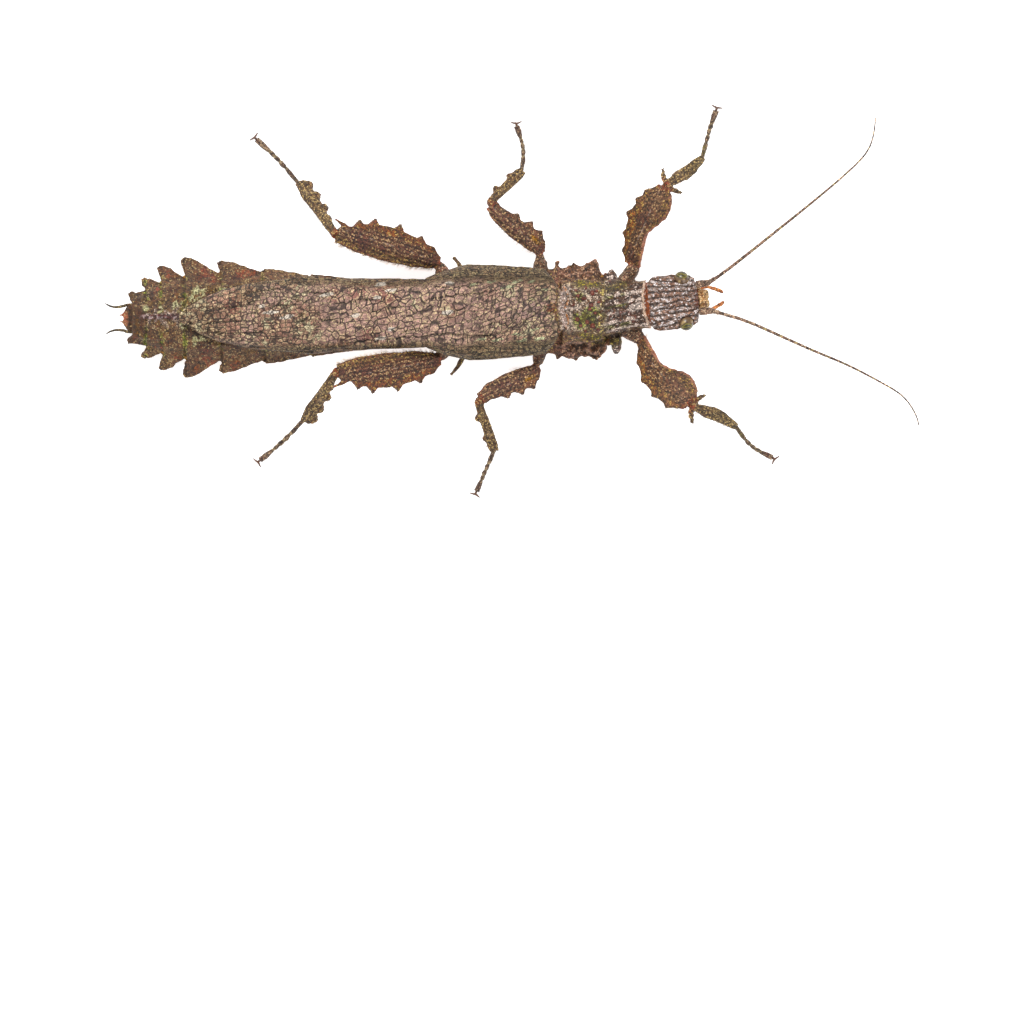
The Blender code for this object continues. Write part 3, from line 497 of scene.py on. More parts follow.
def paint_wings(coat, roof):
    """Horny plates between creases, streaks on the flanks, lichens and scars, with painted shade in
    the creases and hollows.
    """
    s, t, z = coat.points.T
    across = t + np.sign(t) * np.maximum(np.interp(s, *roof) - 0.35 - z, 0)
    flank = ramp(np.abs(across) + 0.25 * coat.noise(1.2, 28), 2.9, 4.5)
    drift = np.interp(s, *np.transpose(VEIN_SLANT))
    line = across - drift * (1 - flank) + 0.15 * coat.noise(0.7, 22)
    coat.large = ramp(s, 19, 23) * (1 - ramp(s, 36, 40)) * (1 - flank)
    coat.plates = np.stack((s + 0.17 * coat.noise(0.75, 21), line, 0 * s), axis=1)
    coat.grains = np.stack((s / 0.17, line / 0.15, z / 0.2), axis=1)

    crease = creases(s, t) * (1 - 0.5 * flank)
    seam = np.interp(s, *np.transpose(OVERLAP))
    lap = ramp(s, 35.5, 37) * (1 - ramp(s, 46.0, 46.4))
    shadow = lap * near(t, seam - 0.10, 0.20)
    lip = lap * near(t, seam + 0.10, 0.18)
    shaded_hollow = coat.spots(HOLLOWS) * ramp(coat.noise(0.35, 24) + 0.25, 0.0, 0.3)
    streak = ramp(flat_noise(s, across, 2.4, 0.16, 25), 0.10, 0.50) * flank
    sheen = ramp(-flat_noise(s, across, 2.0, 0.14, 25), 0.20, 0.60) * flank
    lump = noise(np.stack((s, line * 1.2)), 0.8, 26)

    coat.lift += 0.05 * lump - 0.14 * crease - 0.30 * shaded_hollow - 0.08 * shadow
    coat.lift += 0.07 * lip - 0.05 * streak + 0.05 * coat.noise(1.8, 53)

    coat.ground[:] = paint(188, 150, 134)
    coat.tint((208, 176, 168), ramp(coat.noise(2.2, 52) + 0.8 * coat.large, -0.2, 0.6))
    coat.tint((150, 120, 92), 0.75 * coat.patches(2.6, 54, 0.05, 0.5) * (1 - coat.large))
    coat.tint((146, 84, 70), 0.62 * coat.spots(RED_PATCHES))
    coat.tint((172, 142, 112), 0.85 * flank)
    coat.tint((142, 124, 96), 0.55 * flank * ramp(s, 33, 38))
    green = ramp(s, 41.5, 46.0) * (0.25 + 0.45 * coat.patches(1.3, 55, -0.1, 0.4))
    coat.tint((142, 142, 100), 0.8 * green * (1 - near(t, 0.3, 2.2)))
    coat.tint((188, 164, 162), 0.7 * near(t, 0.1, 3.4) * ramp(s, 36, 42))
    # Lighter on the raised lumps and darker between them, painted light and shade, over a finer
    # random tone.
    coat.mottle(0.20 * lump + 0.26 * coat.noise(0.3, 27))
    coat.mottle(0.16 * ramp(s, 37, 41))
    coat.tint((178, 152, 126), 0.5 * sheen)
    coat.shade(0.55 * streak)
    # Painted shade in the sunk creases.
    coat.shade(0.88 * crease)
    # Painted shade in the hollows where the wings part.
    coat.shade(0.80 * shaded_hollow)
    coat.shade(0.65 * shadow)
    coat.tint((186, 158, 140), 0.6 * lip)

    coat.flecked((232, 216, 182), 0.19)
    coat.flecked((196, 184, 146), 0.26, flank)
    coat.flecked((210, 214, 164), 0.30, green * (1 - flank))
    coat.pale *= 1 + 0.9 * coat.noise(0.7, 51)
    coat.dark[:] = 0.07 + 0.17 * flank
    pale = coat.spots(LICHENS) * coat.patches(0.33, 56, -0.15, 0.20)
    coat.flecked((230, 226, 196), 0.80, pale)
    coat.tint((206, 198, 164), 0.75 * pale)
    scar = dashes(s, t, SCARS, stretch=1.2, width=0.27, slope=0.1)
    scar = ramp(scar + 0.55 * flat_noise(s, t, 0.5, 0.13, 58) * (scar > 0), 0.15, 0.50)
    coat.tint((246, 240, 228), 0.95 * scar)
    coat.flecked((250, 246, 238), 1.0, scar)
    mint = dashes(s, t, FRONT_FLECKS, stretch=1.0, width=0.24, slope=0.2)
    mint = ramp(mint + 0.7 * flat_noise(s, t, 0.35, 0.16, 59) * (mint > 0), 0.45, 0.85)
    coat.tint((204, 216, 172), 0.85 * mint)
    coat.flecked((226, 236, 200), 0.9, mint)
    coat.dark *= 1 - np.maximum(np.maximum(scar, mint), 0.5 * pale)
    coat.lift += 0.05 * scar + 0.04 * mint + 0.03 * pale
    rear = ramp(s, 12, 14) * (1 - ramp(s, 23, 25))
    margin = rear * near(z, 3.05, 0.22) * ramp(np.abs(t), 3.2, 3.6)
    coat.tint((166, 160, 142), 0.7 * margin)

    place, aside, radius = SCUTELLUM
    away = np.hypot((s - place) * 1.05, t - aside)
    knob = 1 - ramp(away, 0.75 * radius, 1.05 * radius)
    coat.lift += 0.20 * knob - 0.10 * near(away, 1.2 * radius, 0.16)
    coat.tint((112, 56, 40), 0.9 * knob)
    coat.tint((190, 120, 80), 0.7 * knob * coat.patches(0.22, 27, 0.05, 0.35))
    coat.tint((196, 142, 84), 0.75 * near(away, 1.15 * radius, 0.2) * (s > place))
    coat.gloss[:] = 0.42


def dashes(s, t, marks, stretch, width, slope):
    """1 in the middle of short marks along the wings, and 0 at their edges."""
    cover = np.zeros(len(s))
    for place, aside, half in marks:
        along = (s - place) / (stretch * half)
        aslant = (t - aside - slope * (s - place)) / width
        cover = np.maximum(cover, 1 - (along ** 2 + aslant ** 2))
    return cover


# Body --------------------------------------------------------------------------------------

# Borders between the rings of the abdomen, from the front to the rear.
RING_BORDERS = (19.8, 14.8, 10.0, 6.0, 3.45, 1.7)
# Marks on the abdomen: place along and across, and radius. They are the rosy blush of the
# lobes, dark brown patches, the shade under the wings' edges, and green-white lichens.
LOBE_BLUSH = ((12.3, 4.9, 0.9), (11.4, -5.1, 0.9), (8.3, 5.0, 1.1), (8.6, -4.6, 1.2),
              (9.3, 4.5, 0.8), (4.4, 4.9, 0.6), (4.9, -4.4, 0.8), (3.1, -3.2, 0.7),
              (2.9, 3.3, 0.6), (0.3, -2.4, 0.7), (13.4, 4.7, 0.8), (7.0, -5.6, 0.6))
UMBER = ((11.6, 3.6, 1.3), (11.8, -3.2, 0.9), (8.4, 3.6, 1.3), (8.2, -3.6, 1.0),
         (4.9, 3.4, 1.0), (4.6, -3.0, 0.9), (2.7, 2.2, 0.8), (1.0, 0.6, 0.9), (1.0, -0.9, 0.8))
WING_SHADE = ((5.5, 0.6, 0.6), (6.1, -1.6, 0.7), (7.2, -2.1, 0.6), (8.7, -2.5, 0.6),
              (10.2, -2.9, 0.5), (12.0, -3.4, 0.6), (7.4, 1.7, 0.5), (9.2, 2.4, 0.5))
MINT_LICHENS = ((7.6, 2.75, 0.95), (7.5, -2.7, 0.9), (6.9, 2.2, 0.7), (1.75, 1.1, 0.5),
                (5.2, 1.3, 0.8), (10.4, 2.9, 0.7), (5.9, -1.0, 0.6), (3.3, 0.9, 0.5))


def paint_skin_base(coat):
    """Lumps and blotches that the whole skin shares, with painted light and shade on the lumps."""
    blotch = coat.noise(1.3, 62)
    lump = coat.noise(0.45, 61)
    coat.lift += 0.05 * lump + 0.03 * coat.noise(0.9, 63)
    coat.ground[:] = paint(124, 94, 70)
    coat.tint((88, 62, 46), 0.7 * ramp(-blotch, 0.05, 0.6))
    coat.tint((144, 118, 88), 0.6 * ramp(blotch, 0.1, 0.7))
    # Lighter on the raised lumps and darker between them, painted light and shade, over a finer
    # random tone.
    coat.mottle(0.18 * lump + 0.20 * coat.noise(0.25, 64))
    coat.flecked((186, 168, 104), 0.26)
    coat.gloss[:] = 0.40


def paint_belly(coat):
    """The pale underside of the body with its dark marks."""
    s = coat.points[:, 0]
    down = ramp(-coat.normals[:, 2], 0.35, 0.75)
    coat.tint((206, 160, 98), 0.75 * down)
    marks = ramp(coat.noise(1.1, 71) + 0.35 * np.sin(s * 1.9), 0.25, 0.6)
    coat.tint((58, 46, 38), 0.8 * down * marks)
    coat.bare(0.6 * down)


def paint_abdomen(coat):
    """Rings with lobes, moss and lichens at their borders, and a keel down the middle."""
    s, t = coat.points.T[:2]
    aside = np.abs(t)
    lobe = ramp(aside, 3.4, 4.8)
    tip = lobe * ramp(coat.noise(1.0, 81) + 0.2, -0.2, 0.5)
    coat.tint((140, 106, 88), 0.55 * tip)
    coat.flecked((172, 154, 118), 0.22)
    coat.grains = coat.points / 0.165
    coat.ground *= 0.96
    patch = coat.noise(0.75, 89)
    coat.pale *= 1 + 1.2 * patch
    coat.mottle(0.32 * patch)
    coat.tint((134, 84, 52), 0.5 * coat.patches(0.6, 90, 0.1, 0.5))
    coat.shade(0.5 * coat.spots(WING_SHADE))
    umber = coat.spots(UMBER) * coat.patches(0.5, 88, -0.25, 0.25)
    coat.tint((88, 48, 30), 0.85 * umber)
    coat.pale *= 1 - 0.5 * umber
    blush = coat.spots(LOBE_BLUSH) * coat.patches(0.42, 82, -0.15, 0.30)
    coat.tint((166, 84, 62), 0.66 * blush)
    coat.pale *= 1 - 0.4 * blush
    ochre = coat.patches(0.8, 80, 0.2, 0.55) * (1 - 0.5 * lobe)
    coat.tint((136, 106, 42), 0.45 * ochre)
    seam, sway = np.zeros(len(s)), 0.16 * coat.noise(0.7, 83)
    for border in RING_BORDERS:
        seam = np.maximum(seam, near(s, border + sway, 0.5))
        joint = near(s, border + sway - 0.05, 0.16)
        coat.lift -= 0.12 * joint
        coat.shade(0.40 * joint)
    moss = seam * coat.patches(0.42, 84, -0.05, 0.25)
    moss = moss * (0.55 + 0.45 * near(aside, 2.7, 1.1)) * (1 - ramp(aside, 4.2, 5.0))
    coat.tint((116, 130, 62), 0.85 * moss)
    coat.flecked((178, 194, 106), 0.55, moss)
    mint = coat.spots(MINT_LICHENS) * coat.patches(0.30, 85, -0.15, 0.2)
    coat.tint((172, 178, 132), 0.75 * mint)
    coat.flecked((224, 228, 188), 0.75, mint)
    coat.dark *= 1 - 0.5 * mint
    coat.lift += 0.04 * mint
    trail = near(t, 0.1, 1.7) * ramp(s, 0.8, 1.5) * (1 - ramp(s, 6.5, 7.5))
    ash = trail * coat.patches(0.35, 78, -0.1, 0.3)
    coat.tint((176, 158, 152), 0.55 * ash)
    coat.flecked((222, 212, 206), 0.60, ash)
    keel = ramp(near(t, 0.1, 0.45), 0.1, 0.6) * ramp(s, 0.8, 1.8) * (1 - ramp(s, 5.2, 5.8))
    coat.lift += 0.20 * keel
    coat.tint((96, 50, 52), 0.9 * keel)
    coat.pale *= 1 - 0.85 * keel
    coat.tint((214, 200, 204), 0.6 * keel * coat.patches(0.25, 86, 0.1, 0.4))
    coat.lift += 0.12 * near(aside, 2.0 + 0.12 * s, 0.30) * (1 - ramp(s, 9, 12))
    end = 1 - ramp(s, 0.4, 1.9)
    coat.tint((88, 58, 34), 0.5 * end)
    coat.pale *= 1 - 0.6 * end
    tail = (1 - ramp(s, -0.45, -0.2)) * (1 - ramp(aside, 0.75, 0.95))
    coat.tint((190, 120, 92), 0.85 * tail)
    coat.dark *= 1 - 0.7 * tail
    ripple = np.sin((aside - 0.35 * s) * 7.0) * lobe * coat.patches(1.0, 87, -0.4, 0.4)
    coat.lift += 0.05 * ripple
    # Painted shade in the troughs of the ripples on the lobes.
    coat.shade(0.25 * lobe * ramp(-ripple, 0.3, 0.9))


# Round warts on the collar: place and radius.
TUBERCLES = ((50.9, 1.9, 0.32), (50.75, 0.55, 0.28), (50.6, 0.1, 0.22), (50.3, -1.35, 0.25),
             (50.9, -1.75, 0.32), (49.3, 1.55, 0.26), (49.9, 1.3, 0.24), (49.2, -1.0, 0.26),
             (50.1, 1.25, 0.2), (51.6, 0.9, 0.18), (52.4, 0.95, 0.18), (51.9, -0.15, 0.18),
             (51.2, -0.35, 0.20), (48.8, 0.6, 0.18), (49.6, -1.7, 0.2), (51.4, 2.1, 0.2),
             (51.5, -2.2, 0.24), (49.1, 2.2, 0.2), (50.2, 2.5, 0.18), (50.1, -2.4, 0.2))
COLLAR_ARCS = ((47.75, 1.45, 1.05), (47.85, -1.20, 0.75))     # place and radius of each arc


def paint_thorax(coat):
    """The collar in front of the wings' hinge, with its ridges, warts and moss, and painted
    highlights and shade on its lumps, warts and arcs.
    """
    s, t = coat.points.T[:2]
    upper = ramp(coat.normals[:, 2], 0.1, 0.6)
    ragged = 0.45 * coat.noise(0.9, 98) + 0.2 * coat.noise(0.35, 99)
    middle = 1 - ramp(np.abs(t - 0.2) + ragged, 1.9, 3.1)
    back = upper * middle * ramp(s + ragged, 46.9, 48.2)
    side = ramp(np.abs(t) + ragged, 2.6, 3.9) * ramp(s, 46.0, 47.5)
    coarse, rough = coat.noise(0.95, 95), coat.noise(0.42, 96)
    coat.tint((118, 78, 56), 0.65 * side)
    coat.lift += side * (0.34 * coarse + 0.24 * rough)
    # Lighter where the side lumps rise and darker where they sink: painted light and shade.
    coat.mottle(side * (0.30 * coarse + 0.45 * rough))
    bumps = 0.6 * coarse + rough
    # Painted highlights on the lumps' crests and painted shade in the pits between them.
    coat.tint((200, 164, 150), 0.7 * ramp(bumps, 0.25, 0.7) * side)
    coat.shade(0.45 * ramp(-bumps, 0.1, 0.6) * side)
    coat.flecked((190, 160, 136), 0.22, side)
    coat.tint((104, 76, 58), 0.6 * back)
    coat.flecked((216, 204, 190), 0.42, back)
    moss = coat.noise(1.1, 91) + 0.6 * near(t, -1.0, 1.7) + 0.4 * near(t, 1.8, 1.0)
    moss = ramp(moss, 0.0, 0.45) * back * ramp(s, 48.5, 49.0) * (1 - ramp(s, 52.6, 53.6))
    coat.tint((92, 98, 44), 0.62 * moss)
    coat.flecked((168, 176, 108), 0.22, moss)
    web = back * ramp(coat.noise(0.45, 94) + 0.4 * near(s, 48.1, 0.9), 0.1, 0.4)
    coat.tint((190, 174, 162), 0.60 * web)
    coat.pale += 0.35 * web
    flank = near(np.abs(t) + ragged, 2.95, 0.85) * ramp(s, 48.4, 49.6) * upper
    coat.tint((98, 92, 30), 0.80 * flank * coat.patches(0.6, 92, -0.4, 0.2))
    coat.flecked((170, 162, 76), 0.3, flank)
    yolk = near(s, 51.9, 0.55) * upper * (1 - ramp(np.abs(t), 2.2, 3.0))
    coat.flecked((212, 200, 136), 0.44, ramp(yolk * coat.patches(0.4, 93, -0.3, 0.3), 0.05, 0.4))

    hump = near(s + 0.6 * ragged, 47.75, 0.8) * middle * upper
    coat.tint((198, 180, 174), 0.70 * hump * coat.patches(0.5, 97, -0.5, 0.0))
    coat.flecked((226, 216, 212), 0.45, hump)
    line = near(t, 0.25, 0.22) * ramp(s, 47.0, 47.3) * (1 - ramp(s, 49.3, 49.8)) * upper
    coat.tint((226, 216, 212), 0.8 * line)
    for place, aside, radius in COLLAR_ARCS:
        ring = np.abs(np.hypot((s - place) * 2.1, t - aside) - radius)
        arc = (1 - ramp(ring, 0.10, 0.30)) * upper * (s > place)
        coat.tint((206, 138, 72), 0.85 * arc)
        coat.lift += 0.12 * arc
        # Painted shade along the foot of each raised arc, on both sides.
        coat.shade(0.6 * near(ring, 0.42, 0.16) * upper * (s > place))
    plate = near(s, 46.9, 1.3) * ramp(np.abs(t), 1.6, 2.6) * (1 - ramp(np.abs(t), 4.2, 5.2))
    coat.tint((176, 132, 116), 0.70 * plate * upper)
    for place, aside, radius in TUBERCLES:
        away = np.hypot(s - place, t - aside)
        wart = np.sqrt(np.clip(1 - (away / radius) ** 2, 0, 1)) * upper
        coat.lift += 0.8 * radius * wart
        # Painted shade around the foot of each wart.
        coat.shade(0.65 * near(away, 1.15 * radius, 0.12) * upper)
        coat.tint((116, 50, 42), 0.85 * ramp(wart, 0.1, 0.5))
        # A painted highlight on each wart's top.
        coat.tint((200, 150, 132), 0.6 * ramp(wart, 0.90, 1.0))
        coat.pale *= 1 - ramp(wart, 0.1, 0.3)
        coat.dark *= 1 - 0.8 * ramp(wart, 0.1, 0.3)


def ridged(across, spacing, phase=0.0):
    """Rounded ridges that run along the body, from 0 in the furrows to 1 on top."""
    return 0.5 + 0.5 * np.cos(math.tau * (across / spacing - phase))


PRONOTUM = 4.88            # its length along the middle
FRONT_LEAN = 0.025         # how far its front edge turns forward towards the left, per mm
FRONT_BOW = 0.07           # and how far its corners stand forward, per square mm


def paint_prothorax(coat, heading):
    """Pale ridges along the pronotum, a rosy front, and a cream rim before the neck."""
    along, across = heading.measure(coat.points)
    upper = ramp(coat.normals[:, 2], 0.0, 0.5)
    bend = across + 0.20 * coat.noise(1.0, 101) + 0.07 * coat.noise(0.4, 102)
    ridge = ridged(bend, 0.92, 0.04) * (1 - ramp(np.abs(bend), 2.15, 2.65))
    ridge = ridge * (0.6 + 0.4 * coat.patches(0.8, 107, -0.4, 0.2))
    coat.grains = np.stack((along / 0.25, bend / 0.17, coat.points[:, 2] / 0.25), axis=1)
    crest = upper * ramp(ridge + 0.55 * coat.noise(0.4, 103), 0.45, 0.85)
    coat.lift += upper * 0.20 * ridge ** 1.5
    coat.tint((98, 70, 54), 0.85 * upper)
    coat.tint((200, 180, 168), 0.78 * crest)
    coat.flecked((236, 226, 220), 0.20, upper)
    coat.pale += 0.62 * crest
    coat.dark += 0.16 * upper * (1 - crest)
    coat.tint((122, 48, 42), 0.7 * upper * coat.patches(0.35, 106, 0.35, 0.6))
    rose = upper * near(along, 4.1, 1.6) * near(across, 0.30, 0.75)
    rose = ramp(rose + 0.25 * coat.noise(0.35, 108), 0.15, 0.5)
    coat.tint((236, 224, 218), 0.75 * rose)
    coat.flecked((246, 238, 232), 0.7, rose)
    moss = ramp(coat.noise(0.8, 104) + 0.4, 0.1, 0.5) * upper
    stripes = near(across, 0.75, 0.30) + near(across, -1.35, 0.36) + near(across, 1.9, 0.3)
    green = moss * np.minimum(stripes, 1) * (1 - ramp(along, 2.6, 3.4))
    coat.tint((106, 116, 46), 0.72 * green)
    coat.flecked((182, 192, 112), 0.3, 0.7 * green)
    flank = near(np.abs(bend), 2.95, 0.95) * (1 - ramp(along, 3.2, 4.0))
    coat.tint((98, 88, 34), 0.85 * flank * coat.patches(0.5, 105, -0.5, 0.1))
    coat.flecked((170, 160, 84), 0.32, flank)
    front = along - FRONT_LEAN * across - FRONT_BOW * across ** 2
    rim = ramp(near(front, PRONOTUM - 0.13, 0.22), 0.1, 0.6) * ramp(coat.normals[:, 2], -0.2, 0.1)
    coat.tint((244, 222, 204), 0.95 * rim)
    neck = ramp(front, PRONOTUM - 0.01, PRONOTUM + 0.08)
    coat.tint((164, 96, 62), 0.95 * neck)
    coat.bare(0.9 * np.maximum(neck, rim))
    coat.lift -= 0.08 * near(along, 1.35, 0.16) * upper
    coat.gloss += 0.12 * crest


def paint_head(coat, heading):
    """Silver grains in rows along the head, with dark furrows between them."""
    along, across = heading.measure(coat.points)
    upper = ramp(coat.normals[:, 2], -0.2, 0.35)
    fan = across * (1 + 0.05 * (along - 2.5))
    bend = fan + 0.16 * coat.noise(0.8, 111) + 0.06 * coat.noise(0.3, 115)
    ridge = ridged(bend, 0.62, 0.5)
    coat.grains = np.stack((along / 0.23, bend / 0.16, coat.points[:, 2] / 0.25), axis=1)
    furrow = 1 - ramp(ridge + 0.12 * coat.noise(0.35, 113), 0.08, 0.50)
    silver = ramp(0.7 * coat.noise(0.45, 118) + 0.7 * coat.noise(0.2, 117), -0.15, 0.35)
    coat.lift += upper * ramp(along, 0.25, 0.55) * (0.12 * ridge + 0.05 * coat.noise(0.25, 116))
    coat.ground[:] = paint(176, 142, 124)
    coat.tint((216, 198, 188), 0.75 * silver)
    coat.tint((134, 98, 78), 0.6 * coat.patches(0.5, 114, 0.05, 0.45))
    coat.shade(0.74 * furrow * upper)
    coat.flecked((240, 240, 246), 0.22)
    coat.pale += 0.44 * silver * (1 - furrow)
    coat.pale *= 1 - 0.75 * furrow * upper
    coat.dark[:] = 0.26 - 0.10 * silver
    rim = near(np.abs(across), 2.95, 0.35) * (1 - ramp(along, 3.2, 3.8))
    coat.tint((136, 104, 82), 0.8 * rim)
    coat.pale *= 1 - 0.7 * rim
    front = ramp(along, 5.0, 5.35) * ramp(near(across, 0.15, 1.6), 0.1, 0.6)
    coat.tint((116, 62, 40), 0.85 * front)
    coat.pale *= 1 - 0.7 * front
    coat.tint((128, 98, 70), 0.6 * (1 - upper))
    neck = 1 - ramp(along, 0.02, 0.14)
    coat.tint((164, 96, 62), 0.95 * neck)
    coat.bare(0.8 * neck)
    coat.gloss[:] = 0.5


# Legs --------------------------------------------------------------------------------------

def local_edges(share, across, steps=32):
    """The lowest and highest places across a limb, all along it."""
    stations = np.linspace(0, 1, steps + 1)
    index = np.clip(np.round(share * steps).astype(int), 0, steps)
    low, high = np.zeros(steps + 1), np.zeros(steps + 1)
    for i in range(steps + 1):
        chosen = across[index == i]
        low[i], high[i] = (chosen.min(), chosen.max()) if len(chosen) else (low[i - 1], high[i - 1])
    return np.interp(share, stations, low), np.interp(share, stations, high)


def paint_limb(coat, pair, kind, limb):
    """A leg joint: rows of grains along it, a darker rib and edges of their own colours."""
    share, across, height = limb.measure(coat.points)
    bend = across + 0.08 * coat.noise(0.9, 125)
    lump = coat.noise(0.4, 126)
    coat.grains = np.stack((share * limb.length / 0.19, bend / 0.155, height / 0.2), axis=1)
    coat.lift[:] = 0.04 * lump + 0.03 * coat.noise(0.8, 122)
    coat.ground[:] = paint(116, 82, 56)
    coat.tint((138, 108, 82), 0.5 * coat.patches(1.1, 123, 0.0, 0.6))
    # Lighter on the raised lumps and darker between them: painted light and shade.
    coat.mottle(0.15 * lump)
    coat.dark[:] = 0.30
    if kind == "coxa":
        knobs = coat.noise(0.6, 127)
        coat.tint((116, 86, 68), 0.6)
        coat.lift += 0.14 * knobs
        # Lighter on the raised knobs and darker between them: painted light and shade.
        coat.mottle(0.4 * knobs)
        coat.tint((206, 150, 130), 0.6 * coat.patches(0.7, 124, 0.15, 0.5))
        coat.flecked((200, 178, 150), 0.24)
    elif kind == "tarsus":
        paint_tarsus(coat, pair, share)
    else:
        under = ramp(-(coat.normals @ limb.up), 0.5, 0.85)
        inside = under * ramp(share, 0.02, 0.1) * (1 - ramp(share, 0.9, 1.0))
        if kind == "femur":
            paint_femur(coat, pair, share, across)
            edge = np.minimum(limb.edges[1] - across, across - limb.edges[0])
            inside = inside * ramp(edge, 0.12, 0.35)
        else:
            paint_tibia(coat, pair, share, across)
            inside = inside * (1 - ramp(np.abs(across - 0.15 * sum(limb.edges)), 0.30, 1.0))
        coat.tint((226, 108, 44) if pair != "mid" else (196, 110, 70), 0.85 * inside)
        coat.bare(0.8 * inside)
        coat.lift *= 1 - 0.6 * inside


# Colours of the toothed side, the rib and the smooth side, and of the pale grains.
FEMUR_COLOURS = {
    "front": ((146, 98, 58), (140, 96, 66), (134, 98, 58), (190, 162, 104)),
    "mid": ((138, 98, 76), (152, 108, 94), (136, 102, 86), (198, 172, 136)),
    "hind": ((146, 92, 66), (134, 90, 74), (134, 98, 76), (190, 166, 112)),
}
# How thickly the smooth edges bear bristles.
BRISTLE_SHARES = {"front": 0.31, "mid": 0.35, "hind": 1.0}


def paint_femur(coat, pair, share, across):
    """Its toothed side, its rib and its smooth side each have their own colour."""
    toothed, rib, smooth, gold = FEMUR_COLOURS[pair]
    low, high = local_edges(share, across)
    reach = across / np.maximum(high, 0.3)
    flange = ramp(reach + 0.06 * coat.noise(0.8, 130), 0.42, 0.58)
    thin = ramp(across / np.minimum(low, -0.3), 0.30, 0.60)
    coat.tint(rib, 0.9)
    coat.tint(toothed, 0.9 * flange)
    coat.tint(smooth, 0.9 * thin)
    lines = ridged(across + 0.10 * coat.noise(0.8, 131), 0.46)
    begun = ramp(share, 0.04, 0.12)
    lines = lines * (1 - 0.7 * flange) * begun
    coat.lift += 0.08 * lines
    coat.shade(0.42 * (1 - lines) * (1 - flange) * begun)
    coat.flecked(gold, 0.14)
    coat.flecked((200, 174, 138), 0.12, (1 - flange) * (1 - thin))
    coat.pale += 0.34 * lines
    coat.shade(0.6 * near(reach, 0.50, 0.09) * ramp(share, 0.35, 0.6))
    ember = coat.patches(0.7, 133, 0.15, 0.5) * flange * ramp(high - across, 0.3, 0.7)
    coat.tint((196, 120, 62), 0.45 * ember)
    plum = coat.patches(0.8, 134, 0.15, 0.5) * (1 - flange)
    coat.tint((104, 66, 62), 0.55 * plum)
    coat.pale *= 1 - 0.6 * plum
    pale = near(across, 0.12, 0.14) * coat.patches(0.4, 132, 0.0, 0.3)
    coat.tint((212, 198, 186), 0.7 * pale * ramp(share, 0.05, 0.2))
    coat.fringe[:] = (1 - ramp(across - low, 0.05, 0.20)) * BRISTLE_SHARES[pair]
    coat.fringe *= ramp(-coat.normals[:, 2], -0.3, 0.2)
    if pair == "front":
        coat.tint((166, 134, 112), 0.45 * ramp(share, 0.5, 0.8))
        rim = (1 - ramp(across - low, 0.28, 0.50)) * (1 - 0.5 * ramp(share, 0.50, 0.62))
        coat.tint((204, 148, 126), 0.9 * rim)
        coat.bare(0.8 * rim)
    else:
        if pair == "mid":
            spot = near(share, 0.22, 0.15) * near(across, 0.5, 0.45)
            coat.tint((208, 158, 62), 0.75 * ramp(spot, 0.1, 0.6))
        coat.tint((180, 124, 98), 0.45 * (1 - ramp(across - low, 0.16, 0.34)))
    coat.tint((74, 46, 32), 0.6 * (1 - ramp(high - across, 0.10, 0.35)))
    coat.tint((186, 104, 74), 0.7 * (1 - ramp(share, 0.0, 0.04)))
    coat.tint((172, 84, 56), 0.75 * ramp(share, 0.955, 0.99))


def paint_tibia(coat, pair, share, across):
    """Rows of pale grains, a few pale blots, and a russet knee."""
    coat.tint((118, 92, 64), 0.7)
    lines = ridged(across, 0.46)
    coat.flecked((196, 176, 130), 0.20)
    coat.pale += 0.34 * lines
    coat.lift += 0.07 * lines
    coat.fringe[:] = 0.5 * near(-coat.normals[:, 2], 0.45, 0.45)
    coat.shade(0.30 * (1 - lines))
    coat.tint((186, 166, 140), 0.5 * coat.patches(0.8, 141, 0.3, 0.6))
    coat.tint((176, 82, 54), 0.75 * (1 - ramp(share, 0.03, 0.12)))
    if pair == "front":
        coat.tint((104, 102, 46), 0.35 * ramp(share, 0.3, 0.8))
    else:
        coat.tint((150, 92, 56), 0.5 * ramp(across, 0.45, 0.9))


TARSUS_JOINTS = (0.34, 0.49, 0.61, 0.72)       # as shares of the length of the foot


def paint_tarsus(coat, pair, share):
    """Pale rings before the joints of the foot, and a darker last joint."""
    coat.tint((88, 66, 54), 0.8)
    for place in TARSUS_JOINTS:
        coat.tint((214, 202, 164), 0.85 * near(share, place - 0.015, 0.045))
        coat.lift -= 0.05 * near(share, place, 0.03)
    coat.tint((120, 86, 76), 0.7 * ramp(share, 0.74, 0.80))
    if pair == "front":
        streak = near(share, 0.16, 0.14) * (coat.normals[:, 2] > 0.2)
        coat.tint((188, 186, 96), 0.6 * streak)
    coat.tint((200, 186, 160), 0.5 * coat.patches(0.28, 152, 0.25, 0.5))
    coat.flecked((196, 176, 150), 0.34)
    coat.tint((64, 48, 40), 0.6 * coat.patches(0.5, 151, 0.05, 0.5))


# Materials ---------------------------------------------------------------------------------

def principled(name, roughness):
    material = bpy.data.materials.new(name)
    material.use_nodes = True
    tree = material.node_tree
    shader = tree.nodes["Principled BSDF"]
    shader.inputs["Roughness"].default_value = roughness
    shader.inputs["Specular IOR Level"].default_value = 0.45
    return material, tree, shader


def link(tree, source, socket, node, name):
    tree.links.new(source.outputs[socket], node.inputs[name])


def textured(tree, kind, scale, detail=2.0):
    """A 3-D texture in the object's own coordinates, at so many features per mm."""
    place = tree.nodes.new("ShaderNodeTexCoord")
    texture = tree.nodes.new(kind)
    texture.inputs["Scale"].default_value = scale / MM
    if "Detail" in texture.inputs:
        texture.inputs["Detail"].default_value = detail
    link(tree, place, "Object", texture, "Vector")
    return texture


